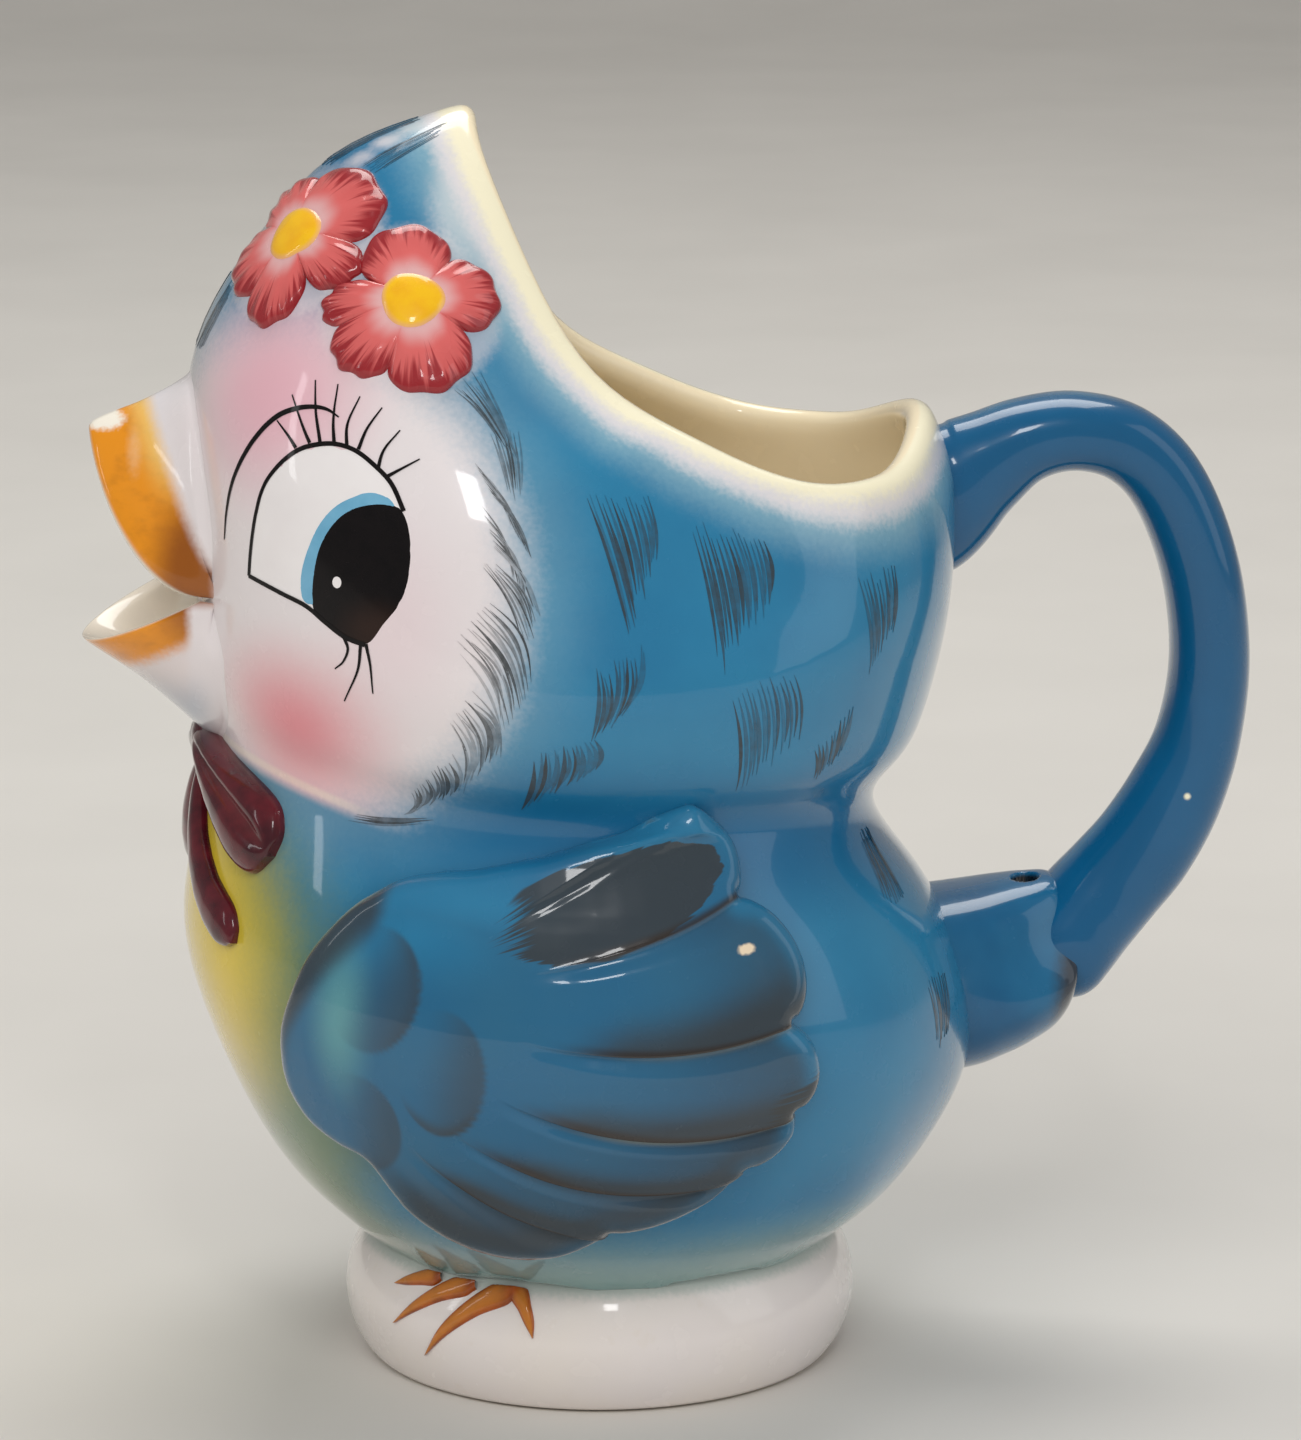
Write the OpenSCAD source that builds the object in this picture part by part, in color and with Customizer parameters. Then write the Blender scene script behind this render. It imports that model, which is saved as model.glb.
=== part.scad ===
// Bird creamer: a hollow glazed jug in the shape of a bird. It is filled at the open
// back of the head and pours through the beak. All sizes are in millimetres.
// The origin is on the table under the middle of the foot, +X points to the handle,
// the beak looks to -X and the left side of the bird is at -Y.

/* [Foot] */
// Diameter of the foot's lower edge, which stands on the table
foot_d = 42; // [38:0.2:48]
// Height of the foot, up to the seat of the body
foot_h = 11.3; // [9:0.1:14]
// Diameter of the round seat between foot and body
seat_d = 42.6; // [38:0.2:44]
// Radius of the bulging side of the foot
foot_bulge_r = 8.5; // [7.5:0.1:11]
// Depth of the hollow under the foot
foot_hollow = 2; // [1:0.1:4]
// Width of the ring that stands on the table
foot_ring_w = 4; // [3:0.1:6]

/* [Body] */
// Reach of the breast in front of the middle
belly_front = 37.4; // [33:0.2:42]
// Reach of the back behind the middle
belly_back = 34; // [30:0.2:40]
// Full width of the belly
belly_w = 67; // [60:0.5:76]
// Height of the widest belly ring above the seat
belly_rise = 21.7; // [18:0.2:26]
// Reach of the neck groove in front
neck_front = 34.6; // [31:0.2:37]
// Reach of the neck groove at the back
neck_back = 24.6; // [22:0.2:29]
// Full width at the neck groove
neck_w = 54.6; // [48:0.5:62]
// Height of the neck groove above the seat, at the side
neck_rise = 43; // [39:0.2:47]
// Tilt of belly and neck rings, front up, in degrees
ring_tilt = 7.3; // [4:0.1:10]

/* [Head] */
// Reach of the face in front
face_front = 36.8; // [33:0.2:41]
// Reach of the back of the head
head_back = 31.6; // [28:0.2:36]
// Full width over the cheeks
cheek_w = 63.6; // [57:0.5:72]
// Height of the cheeks above the neck groove
cheek_rise = 13.4; // [11:0.2:16]
// Full width at the temples
temple_w = 56.4; // [50:0.5:64]
// Height of the temples above the neck groove
temple_rise = 21.4; // [19:0.2:24]
// Height of the brow above the neck groove
brow_rise = 39.2; // [35:0.2:44]
// Full width at the crown, just below the rim
crown_w = 48.8; // [44:0.5:54]
// Height of the crest above the neck groove
crest_rise = 59.8; // [55:0.2:66]
// Full width of the open rim
rim_w = 42.6; // [36:0.2:46]
// Height of the lowest part of the rim above the neck groove
rim_rise = 28.2; // [26:0.2:31]
// Thickness of the jug's wall
wall = 2.8; // [2:0.1:3.6]
// Thickness of the jug's floor on the foot
floor_t = 3; // [2:0.1:5]

/* [Beak] */
// Width of the beak at the corners of the mouth
beak_w = 19; // [15:0.2:22]
// Height of the corners of the mouth above the neck groove
mouth_rise = 18; // [16:0.2:20]
// Reach of the upper beak's tip in front of the face
upper_reach = 8.2; // [6:0.2:12]
// Height of the upper beak's tip above the mouth corners
upper_lift = 14.1; // [11:0.2:16]
// Reach of the lower beak's tip in front of the face
lower_reach = 9.6; // [7:0.2:13]
// Drop of the lower beak's tip below the mouth corners
lower_drop = 5; // [2:0.2:7]
// Depth of the lower beak where it meets the face
lower_depth = 13; // [10:0.2:15]
// Rise of the upper beak's root above its tip
upper_brow = 4.2; // [3:0.1:6]
// Thickness of the beak at its edge
beak_t = 1.8; // [1.2:0.1:2.6]
// Gap between the two halves of the beak at the mouth corners
mouth_gap = 0.3; // [0.1:0.1:1]
// Diameter of the pouring hole through the face
pour_d = 11; // [8:0.2:13]

/* [Handle and tail] */
// Thickness of the handle, seen from the side
handle_t = 7.1; // [5.5:0.1:9]
// Width of the handle, seen from behind
handle_w = 8.6; // [6:0.1:11]
// Farthest reach of the handle's middle line
handle_reach = 55.9; // [52:0.2:62]
// Height of the handle's top above its lower end
handle_rise = 47.5; // [44:0.2:52]
// Height of the handle's lower end above the seat
handle_foot = 24.9; // [22:0.2:28]
// Width of the tail where it leaves the body
tail_w = 18; // [14:0.2:24]
// Height of the tail where it leaves the body
tail_h = 18.4; // [15:0.2:22]
// Reach of the tail's tip
tail_reach = 46; // [43:0.2:50]
// Rise of the tail from its root to its tip
tail_lift = 3.8; // [2:0.2:6]
// Diameter of the vent hole on the tail
vent_d = 2.4; // [1.6:0.1:4]
// Depth of the vent hole
vent_depth = 6; // [3:0.2:9]

/* [Wings] */
// Thickness of a wing over the body
wing_t = 2.6; // [1.8:0.1:4]
// Size of the wing against its drawn outline
wing_scale = 1; // [0.85:0.01:1.1]
// Length of the longest feather from the wing's shoulder
feather_l = 33.1; // [30:0.1:36]
// Height of the wing's shoulder above the seat
wing_rise = 31.1; // [28:0.2:34]
// Depth of the grooves between the feathers
groove_t = 1; // [0.4:0.1:1.6]

/* [Flowers and bow] */
// Diameter of a blossom
blossom_d = 16; // [12:0.2:18]
// Thickness of the petals
petal_t = 2; // [1.4:0.1:3]
// Diameter of a blossom's centre
centre_d = 4.8; // [3.6:0.1:6]
// Width of a bow loop
loop_w = 8; // [6:0.2:10]
// Thickness of the bow
bow_t = 2; // [1.4:0.1:3]
// Width of the bow's knot
knot_w = 6.4; // [5:0.2:8]
// Width of a ribbon end
ribbon_w = 4.6; // [3:0.2:6]

/* [Toes] */
// Width of a toe
toe_w = 2.6; // [1.8:0.1:3.4]
// Height of a toe over the foot
toe_t = 1.1; // [0.7:0.1:1.8]

/* [Hidden] */
$fn = 64;
// Columns around the jug and rows in each span between two rings
nu = 48;
nv = 4;
seat_r = seat_d / 2;
neck_z = foot_h + neck_rise;
belly_z = foot_h + belly_rise;
mouth_z = neck_z + mouth_rise;
// How far applied pieces reach under the skin before they are cut to it
sink = 1.3;

// One ring of the jug: front x and z, then middle x, half width and z, then back x and z
function tilted(f, m, w, b, z) =
    [-f, z + f * tan(ring_tilt), m, w, z, b, z - b * tan(ring_tilt)];

seat_ring = [-seat_r, foot_h, 0, seat_r, foot_h, seat_r, foot_h];
belly_ring = tilted(belly_front, -1.5, belly_w / 2, belly_back, belly_z);
neck_ring = tilted(neck_front, -2, neck_w / 2, neck_back, neck_z);
cheek_ring = [-face_front, mouth_z + 3.7, -3, cheek_w / 2, neck_z + cheek_rise,
              head_back - 0.4, neck_z + cheek_rise - 0.8];
// The rings between are blends of their neighbours
function blend(a, b, tx, tz) = [for (k = [0 : 6]) let (t = k == 1 || k == 4 || k == 6 ? tz : tx)
    a[k] * (1 - t) + b[k] * t];
lower_ring = blend(seat_ring, belly_ring, 0.56, 0.36);
shoulder_ring = blend(belly_ring, neck_ring, 0.32, 0.56);
jowl_ring = blend(neck_ring, cheek_ring, 0.6, 0.4);
rings = [seat_ring, lower_ring, belly_ring, shoulder_ring, neck_ring, jowl_ring, cheek_ring];
// The upper rings follow the open rim. Each is half a ring in steps of 30 degrees, from the
// front over the right flank to the back, with heights above the neck groove
// Heights between the low rim at the flanks and the crest in front
function crest_z(t) = lerp(rim_rise, crest_rise, t);
temple_pts = [
    [1 - face_front, 0, brow_rise],
    [-0.837 * face_front, 0.57 * temple_w / 2, lerp(temple_rise, brow_rise, 0.72)],
    [-0.476 * face_front, 0.94 * temple_w / 2, lerp(temple_rise, brow_rise, 0.315)],
    [0.5, temple_w / 2, temple_rise],
    [0.522 * head_back, 0.89 * temple_w / 2, 0.883 * temple_rise],
    [0.886 * head_back, 0.52 * temple_w / 2, 0.874 * temple_rise],
    [head_back + 0.4, 0, temple_rise]];
crown_pts = [
    [-0.712 * face_front, 0, crest_z(0.772)],
    [-0.5815 * face_front, 0.57 * crown_w / 2, crest_z(0.582)],
    [-0.299 * face_front, 0.915 * crown_w / 2, crest_z(0.2215)],
    [0.111 * head_back, crown_w / 2, rim_rise],
    [0.532 * head_back, 0.96 * crown_w / 2, lerp(temple_rise, rim_rise, 0.368)],
    [0.861 * head_back, 0.585 * crown_w / 2, lerp(temple_rise, rim_rise, 0.338)],
    [head_back + 0.3, 0, lerp(temple_rise, rim_rise, 0.853)]];
rim_pts = [
    [-0.3424 * face_front, 0, crest_rise],
    [-0.2908 * face_front, 0.35 * rim_w / 2, crest_z(0.8165)],
    [-0.0978 * face_front, 0.73 * rim_w / 2, crest_z(0.354)],
    [0.206 * head_back, 0.94 * rim_w / 2, crest_z(0.136)],
    [0.522 * head_back, rim_w / 2, rim_rise + 0.2],
    [0.807 * head_back, 0.7 * rim_w / 2, rim_rise - 0.1],
    [head_back - wall / 2, 0, crest_z(0.117)]];

function unit(v) = v / norm(v);
function lerp(a, b, t) = a + (b - a) * t;
// A smooth curve through points, t runs from b to c
function cr(a, b, c, d, t) = 0.5 * (2 * b + (c - a) * t + (2 * a - 5 * b + 4 * c - d) * t * t
    + (3 * b - a - 3 * c + d) * t * t * t);
function at(p, i) = i < 0 ? 2 * p[0] - p[1]
    : i >= len(p) ? 2 * p[len(p) - 1] - p[len(p) - 2] : p[i];
function curve(p, s) = let (k = min(floor(s), len(p) - 2))
    cr(at(p, k - 1), at(p, k), at(p, k + 1), at(p, k + 2), s - k);

function flip_y(p) = [p[0], -p[1], p[2]];
function half_ctl(p, m) = m < 0 ? flip_y(p[-m]) : m > 6 ? flip_y(p[12 - m]) : p[m];
function half_at(p, u) = let (q = (180 - u) / 30, m = min(floor(q), 5))
    cr(half_ctl(p, m - 1), half_ctl(p, m), half_ctl(p, m + 1), half_ctl(p, m + 2), q - m)
        + [0, 0, neck_z];
function spline_at(p, u) = let (a = u > 180 ? u - 360 : u < -180 ? u + 360 : u)
    a < 0 ? flip_y(half_at(p, -a)) : half_at(p, a);
function ellipse_at(r, u) = let (c = cos(u), b = c > 0)
    [r[2] + (b ? r[5] - r[2] : r[2] - r[0]) * c, r[3] * sin(u),
     r[4] + ((b ? r[6] : r[1]) - r[4]) * c * c];
function ring_at(k, u) = k < 0 ? 2 * ring_at(0, u) - ring_at(1, u)
    : k > 9 ? 2 * ring_at(9, u) - ring_at(8, u)
    : k > 6 ? spline_at([temple_pts, crown_pts, rim_pts][k - 7], u) : ellipse_at(rings[k], u);
// A point of the jug's outer skin: u degrees round from the back, v counts the rings upward
function skin(u, v) = let (k = max(0, min(floor(v), 8)))
    cr(ring_at(k - 1, u), ring_at(k, u), ring_at(k + 1, u), ring_at(k + 2, u), v - k);
function skin_n(u, v) = unit(cross(skin(u + 1, v) - skin(u - 1, v),
    skin(u, min(v + 0.03, 9)) - skin(u, v - 0.03)));
// The ring count at which the skin reaches a height, by halving
function v_at(u, z, lo = 0, hi = 6, n = 14) = n == 0 ? (lo + hi) / 2
    : let (m = (lo + hi) / 2) skin(u, m)[2] < z ? v_at(u, z, m, hi, n - 1) : v_at(u, z, lo, m, n - 1);

rows = 9 * nv;
grid = [for (j = [0 : rows]) [for (i = [0 : nu - 1]) skin(i * 360 / nu, j / nv)]];
grid_n = [for (j = [0 : rows]) [for (i = [0 : nu - 1])
    unit(cross(grid[j][(i + 1) % nu] - grid[j][(i + nu - 1) % nu],
               grid[min(j + 1, rows)][i] - grid[max(j - 1, 0)][i]))]];
function offset_row(j, d) = [for (i = [0 : nu - 1]) grid[j][i] + d * grid_n[j][i]];
// The rounded lip, a half circle from the outer to the inner rim
function lip_row(a) = [for (i = [0 : nu - 1])
    let (n = grid_n[rows][i], t = unit(grid[rows][i] - grid[rows - 1][i]))
    grid[rows][i] - n * wall / 2 * (1 - cos(a)) + t * wall / 2 * sin(a)];
inner_rows = concat([rows, rows - 1, rows - 2], [for (j = [rows - 3 : -2 : 2]) j], [1]);
function floor_row() = [for (p = offset_row(1, -wall)) [p[0], p[1], max(p[2], foot_h + floor_t)]];

// A closed solid through loops of points, each loop turning left about the way ahead
module loft(loops, even = false) {
    n = len(loops[0]);
    m = len(loops);
    pts = concat([for (l = loops) each l], [mean(loops[0]), mean(loops[m - 1])]);
    sides = [for (j = [0 : m - 2]) for (i = [0 : n - 1])
        let (a = j * n + i, b = j * n + (i + 1) % n, c = b + n, d = a + n)
        each (even && i >= n / 2 ? [[b, a, d], [b, d, c]] : [[a, d, c], [a, c, b]])];
    ends = [for (i = [0 : n - 1]) each [[m * n, i, (i + 1) % n],
        [m * n + 1, (m - 1) * n + (i + 1) % n, (m - 1) * n + i]]];
    polyhedron(pts, concat(sides, ends), convexity = 8);
}
function mean(l) = [for (k = [0 : 2]) let (s = [for (p = l) p[k]]) sum(s) / len(s)];
function sum(s, i = 0) = i >= len(s) ? 0 : s[i] + sum(s, i + 1);

// A block of the jug under a patch of its skin, used to seat the applied pieces
module seat_block(i0, i1, j0, j1, bite) {
    w = i1 - i0 + 1;
    h = j1 - j0 + 1;
    top = [for (j = [j0 : j1]) for (i = [i0 : i1]) grid[j][(i + nu) % nu]];
    low = [for (j = [j0 : j1]) for (i = [i0 : i1])
        grid[j][(i + nu) % nu] - bite * grid_n[j][(i + nu) % nu]];
    o = w * h;
    cells = [for (j = [0 : h - 2]) for (i = [0 : w - 2])
        let (a = j * w + i, b = a + 1, d = a + w, c = d + 1, e = (i + i0 + nu) % nu >= nu / 2)
        each (e ? [[b, a, d], [b, d, c], [o + a, o + b, o + d], [o + d, o + b, o + c]]
                : [[a, d, c], [a, c, b], [o + d, o + a, o + c], [o + c, o + a, o + b]])];
    rim = concat([for (i = [0 : w - 2]) i], [for (j = [0 : h - 2]) j * w + w - 1],
        [for (i = [w - 1 : -1 : 1]) (h - 1) * w + i], [for (j = [h - 1 : -1 : 1]) j * w]);
    walls = [for (k = [0 : len(rim) - 1]) let (p = rim[k], q = rim[(k + 1) % len(rim)])
        each [[p, q, o + p], [q, o + q, o + p]]];
    polyhedron(concat(top, low), concat(cells, walls), convexity = 8);
}

// A low pad along a path of [u, v] points on the skin, with a half width and height at each
function pad_loops(path, n) = [for (k = [0 : n])
    let (s = k / n * (len(path) - 1), p = curve(path, s), q = curve(path, s + 0.02),
         r = curve(path, s - 0.02), o = skin_n(p[0], p[1]),
         t = unit(skin(q[0], q[1]) - skin(r[0], r[1])), l = cross(o, t), c = skin(p[0], p[1]))
    [for (e = [[-1, -1], [1, -1], [1, 0.3], [0.62, 0.82], [0, 1], [-0.62, 0.82], [-1, 0.3]])
        c + l * e[0] * p[2] + o * (e[1] < 0 ? -sink : e[1] * p[3])]];

module jug_body() {
    color([0.35, 0.5, 0.75])
    difference() {
        loft(concat(grid, [for (a = [45, 90, 135]) lip_row(a)],
            [for (j = inner_rows) j == 1 ? floor_row() : offset_row(j, -wall)]), even = true);
        // Pouring hole behind the beak
        translate([-face_front - 10, 0, mouth_z - 0.3]) rotate([0, 90, 0])
            cylinder(d = pour_d, h = 20);
    }
}

// The side of the foot is an arc of the bulge radius from the seat down to the lower edge
foot_chord = [foot_d / 2 - seat_r, -foot_h];
foot_in = sqrt(pow(foot_bulge_r, 2) - pow(norm(foot_chord) / 2, 2)) / norm(foot_chord);
foot_xc = (seat_r + foot_d / 2) / 2 - foot_h * foot_in;
foot_zc = foot_h / 2 - foot_chord[0] * foot_in;
function foot_r(z) = foot_xc + sqrt(pow(foot_bulge_r, 2) - pow(z - foot_zc, 2));
module foot_solid() {
    rotate_extrude() {
        square([foot_xc, foot_h]);
        intersection() {
            translate([foot_xc, foot_zc]) circle(foot_bulge_r);
            square([foot_xc + foot_bulge_r, foot_h]);
        }
    }
}
module foot_ring() {
    color([0.93, 0.93, 0.9])
    difference() {
        foot_solid();
        translate([0, 0, -1])
            cylinder(d = foot_d - 2 * foot_ring_w, h = foot_hollow + 1);
    }
}

// Middle line of the handle with half thickness and half width at each point
hz = foot_h + handle_foot;
handle_path = [
    [head_back - 2.2, hz + 0.87 * handle_rise, 0.95 * handle_t, 0.58 * handle_w],
    [head_back + 0.3, hz + 0.882 * handle_rise, 0.93 * handle_t, 0.56 * handle_w],
    [lerp(head_back, handle_reach, 0.14), hz + 0.94 * handle_rise, 0.68 * handle_t, 0.52 * handle_w],
    [lerp(head_back, handle_reach, 0.29), hz + 0.985 * handle_rise, 0.54 * handle_t, handle_w / 2],
    [lerp(head_back, handle_reach, 0.48), hz + handle_rise, handle_t / 2, handle_w / 2],
    [lerp(head_back, handle_reach, 0.68), hz + 0.97 * handle_rise, handle_t / 2, handle_w / 2],
    [lerp(head_back, handle_reach, 0.835), hz + 0.886 * handle_rise, handle_t / 2, handle_w / 2],
    [handle_reach - 1.1, hz + 0.732 * handle_rise, handle_t / 2, handle_w / 2],
    [handle_reach, hz + 0.56 * handle_rise, 0.51 * handle_t, handle_w / 2],
    [handle_reach - 0.9, hz + 0.384 * handle_rise, 0.53 * handle_t, handle_w / 2],
    [handle_reach - 3.7, hz + 0.227 * handle_rise, 0.6 * handle_t, handle_w / 2],
    [lerp(tail_reach, handle_reach, 0.19), hz + 0.13 * handle_rise, 0.76 * handle_t, 0.54 * handle_w],
    [lerp(tail_reach, handle_reach, -0.18), hz + 0.12 * handle_rise, 0.62 * handle_t, 0.54 * handle_w],
    [lerp(tail_reach, handle_reach, -0.42), hz + 0.125 * handle_rise, 0.25 * handle_t, 0.3 * handle_w]];
// The lower end is a round lobe that lies on the upper half of the tail
module handle_solid() {
    loft([for (k = [0 : 39])
        let (s = k / 3, p = curve(handle_path, s),
             d = curve(handle_path, s + 0.02) - curve(handle_path, s - 0.02),
             t = unit(lerp([1, 0, 0], unit([d[0], 0, d[1]]), min(1, s / 3))), n = [t[2], 0, -t[0]])
        [for (a = [0 : 30 : 330]) [p[0], 0, p[1]] + n * p[2] * cos(a) + [0, p[3] * sin(a), 0]]]);
}
module handle() {
    color([0.25, 0.4, 0.7])
    difference() {
        handle_solid();
        seat_block(-4, 4, 23, rows - 1, 6);
    }
}

// The tail: length, middle height above the seat, half height, half width and the share by
// which its upper side is narrower, so that the handle's lobe stands proud of it
function tail_at(t) = handle_foot + (t - 0.5) * tail_lift;
tail_path = [
    [belly_back - 0.38 * tail_h, tail_at(-0.2), tail_h / 2, tail_w / 2, 0],
    [belly_back - 0.5, tail_at(0), tail_h / 2, tail_w / 2, 0.05],
    [lerp(belly_back, tail_reach, 0.42), tail_at(0.37), 0.455 * tail_h, 0.47 * tail_w, 0.25],
    [lerp(belly_back, tail_reach, 0.78), tail_at(0.79), 0.38 * tail_h, 0.4 * tail_w, 0.55],
    [lerp(belly_back, tail_reach, 0.95), tail_at(0.95), 0.28 * tail_h, 0.33 * tail_w, 0.6],
    [tail_reach, tail_at(1), 0.16 * tail_h, 0.2 * tail_w, 0.6]];
vent_p = tail_path[2];
function round_box(a, e) = [sign(cos(a)) * pow(abs(cos(a)), e), sign(sin(a)) * pow(abs(sin(a)), e)];
module tail_solid() {
    loft([for (s = [0, 0.5, 1, 1.5, 2, 2.5, 3, 3.5, 4, 5]) let (p = curve(tail_path, s))
        [for (a = [0 : 18 : 342]) let (q = round_box(a, 0.8))
            [p[0], p[3] * q[0] * (1 - p[4] * (1 + q[1]) / 2), foot_h + p[1] + p[2] * q[1]]]]);
}
module tail() {
    color([0.25, 0.4, 0.7])
    difference() {
        tail_solid();
        seat_block(-5, 5, 2, 16, 12);
        handle_solid();
        translate([vent_p[0], 0, foot_h + vent_p[1] + tail_h / 2 - vent_depth])
            cylinder(d = vent_d, h = vent_depth + tail_h);
    }
}

// Each half of the beak is a curved shell swept from the left mouth corner to the right
module upper_beak() {
    hw = beak_w / 2;
    fx = -0.891 * face_front;
    color([0.9, 0.5, 0.2])
    difference() {
        loft([for (a = [0 : 12 : 180])
            let (c = cos(a), s = sin(a),
                 root = [fx, -hw * c, mouth_z + (upper_lift + upper_brow) * s],
                 edge = [beak_t - face_front - (upper_reach + beak_t) * s, -(hw - 0.1) * c,
                         mouth_z + upper_lift * (1 - pow(abs(c), 1.3))],
                 mid = lerp(root, edge, 0.55) + [-0.3 * s, -0.7 * c, 0.7 * s],
                 edge_in = edge + beak_t * [0.7 * s, c, -s],
                 root_in = [fx, -(hw - 1.44 * beak_t) * c,
                            mouth_z + (upper_lift + upper_brow - 1.67 * beak_t) * s],
                 mid_in = lerp(root_in, edge_in, 0.55))
            [root, root_in, mid_in, edge_in, edge, mid]]);
        seat_block(19, 29, 14, 31, 8);
    }
}
module lower_beak() {
    hw = beak_w / 2;
    fx = -0.897 * face_front;
    zc = mouth_z - mouth_gap;
    color([0.9, 0.6, 0.35])
    difference() {
        loft([for (a = [0 : 12 : 180])
            let (c = cos(a), s = sin(a),
                 root = [fx, -hw * c, zc - 0.4 - lower_depth * s],
                 edge = [-face_front + 0.8 - (lower_reach + 0.8) * s, -(hw - 0.1) * c,
                         zc - lower_drop * s],
                 mid = lerp(root, edge, 0.5) + [0, -0.3 * c, -0.4 * s],
                 edge_in = edge + beak_t * [0.7 * s, 0.9 * c, -0.1],
                 root_in = [fx, -(hw - 1.33 * beak_t) * c, zc - 0.6 - (lower_depth - 3.78 * beak_t) * s],
                 mid_in = lerp(root_in, edge_in, 0.5) + [0, 0, -0.6 * s])
            [root, mid, edge, edge_in, mid_in, root_in]]);
        seat_block(19, 29, 12, 29, 8);
    }
}

// Feathers of the left wing round its shoulder, counted from the tail side: angle at the
// tips of the grooves that part them, how far each groove swings round towards the root,
// the notch radius there and the swell of each tip, as shares of the longest feather
groove_a = [31.6, 12.8, -8, -21, -31.5, -53.5, -98];
groove_swing = [0, -12, -25, -42, -63, -65, -25];
notch_r = feather_l * [0.85, 0.86, 0.94, 1, 0.97, 0.85, 0.61];
tip_r = feather_l * [0.06, 0.08, 0.06, 0.04, 0.03, 0.065];
// Each feather lies over the next one like a shingle: depth at shares of its width
shingle = [[0, 1], [0.25, 0.02], [0.5, 0.1], [0.75, 0.45]];
// The plain edge of the wing from its lowest feather round the shoulder to its top
shoulder_edge = [[-98, 0.61, -25], [-105, 0.526, -23], [-113.6, 0.52, -20], [-125, 0.51, -15],
    [-137, 0.465, -9], [-150.5, 0.384, -4], [-171, 0.293, 0], [-204, 0.239, 0], [-238, 0.233, 0],
    [-258, 0.248, 0], [-280, 0.272, 0], [-299, 0.32, 0], [-312, 0.411, 0], [-318, 0.49, 0],
    [-325, 0.647, 0], [-327, 0.767, 0]];
// Edge samples: angle, radius, depth of the groove and swing
wing_edge = concat([for (k = [0 : 5]) for (h = shingle) let (t = h[0])
    [lerp(groove_a[k], groove_a[k + 1], t),
     lerp(notch_r[k], notch_r[k + 1], t) + tip_r[k] * pow(sin(180 * t), 0.6),
     k == 0 && t < 0.2 ? 0 : h[1], lerp(groove_swing[k], groove_swing[k + 1], t)]],
    [for (e = shoulder_edge) [e[0], feather_l * e[1], 0, e[2]]]);
// Small coverts at the wing's root: place, half length and half height
coverts = wing_scale * [[-1.8, -0.9, 4.3, 5], [4.2, -7.4, 3.4, 5], [-3, -12, 3.6, 3.6]];
// Length on the flank of one degree round the jug
flank_deg = 0.0082 * belly_w;
function flank_pt(p, q, h) = let (u = -121.5 + p / flank_deg, v = v_at(u, foot_h + wing_rise + q))
    skin(u, v) + h * skin_n(u, v);
function wing_pt(e, f, h) = let (a = e[0] + e[3] * (1 - f), r = e[1] * f * wing_scale)
    flank_pt(r * cos(a), r * sin(a), h);
module covert(c) {
    loft([for (k = [[0.9, 0.3], [1, 0.8], [0.93, 1.05], [0.7, 1.14], [0.35, 1.18]])
        [for (a = [0 : 30 : 330])
            flank_pt(c[0] + c[2] * k[0] * cos(a), c[1] + c[3] * k[0] * sin(a), wing_t * k[1])]]);
}
module wing_left() {
    top = [[0.14, 0.75], [0.3, 0.85], [0.5, 0.95], [0.7, 1], [0.85, 0.95], [0.95, 0.72], [1, 0.35]];
    edge = [for (k = [len(wing_edge) - 1 : -1 : 0]) wing_edge[k]];
    color([0.3, 0.5, 0.7])
    difference() {
        union() {
            loft(concat([for (k = [0.85, 1]) [for (e = edge)
                    flank_pt(k * wing_scale * e[1] * cos(e[0]), k * wing_scale * e[1] * sin(e[0]), -sink)]],
                [for (k = [6 : -1 : 0]) [for (e = edge)
                    wing_pt(e, top[k][0], wing_t * top[k][1]
                        - groove_t * e[2] * top[k][1] * max(0, min(1, 2.2 * top[k][0] - 0.6)))]]));
            for (c = coverts) covert(c);
        }
        seat_block(26, 43, 1, 23, 14);
    }
}
module wing_right() {
    mirror([0, 1, 0]) wing_left();
}

// The column and row of the skin's grid at u and v
function column(u) = floor((u + 360) % 360 * nu / 360);
function row(v) = floor(v * nv);
// Five uneven petals: angle and radius of each valley, and radius of the petal after it, as
// shares of half the blossom's diameter
side_lobes = [[-215, 0.56, 0.96], [-168, 0.81, 1.04], [-111, 0.83, 1.08], [-30, 0.61, 0.98],
    [52, 0.7, 1.01], [145, 0.56]];
front_lobes = [[-252, 0.78, 0.98], [-186, 0.75, 1.03], [-111, 0.79, 1.1], [-48, 0.59, 1.01],
    [9, 0.7, 1.05], [108, 0.78]];
// Edge samples of a blossom: angle, radius share and share across the petal
function lobe_edge(lobes, turn) = [for (k = [0 : 4]) for (t = [0 : 0.125 : 0.9])
    let (a = lobes[k], b = lobes[k + 1], m = lerp(a[1], b[1], t))
    [turn + lerp(a[0], b[0], t), m + (a[2] - (a[1] + b[1]) / 2) * pow(sin(180 * t), 0.6), sin(180 * t)]];
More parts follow.
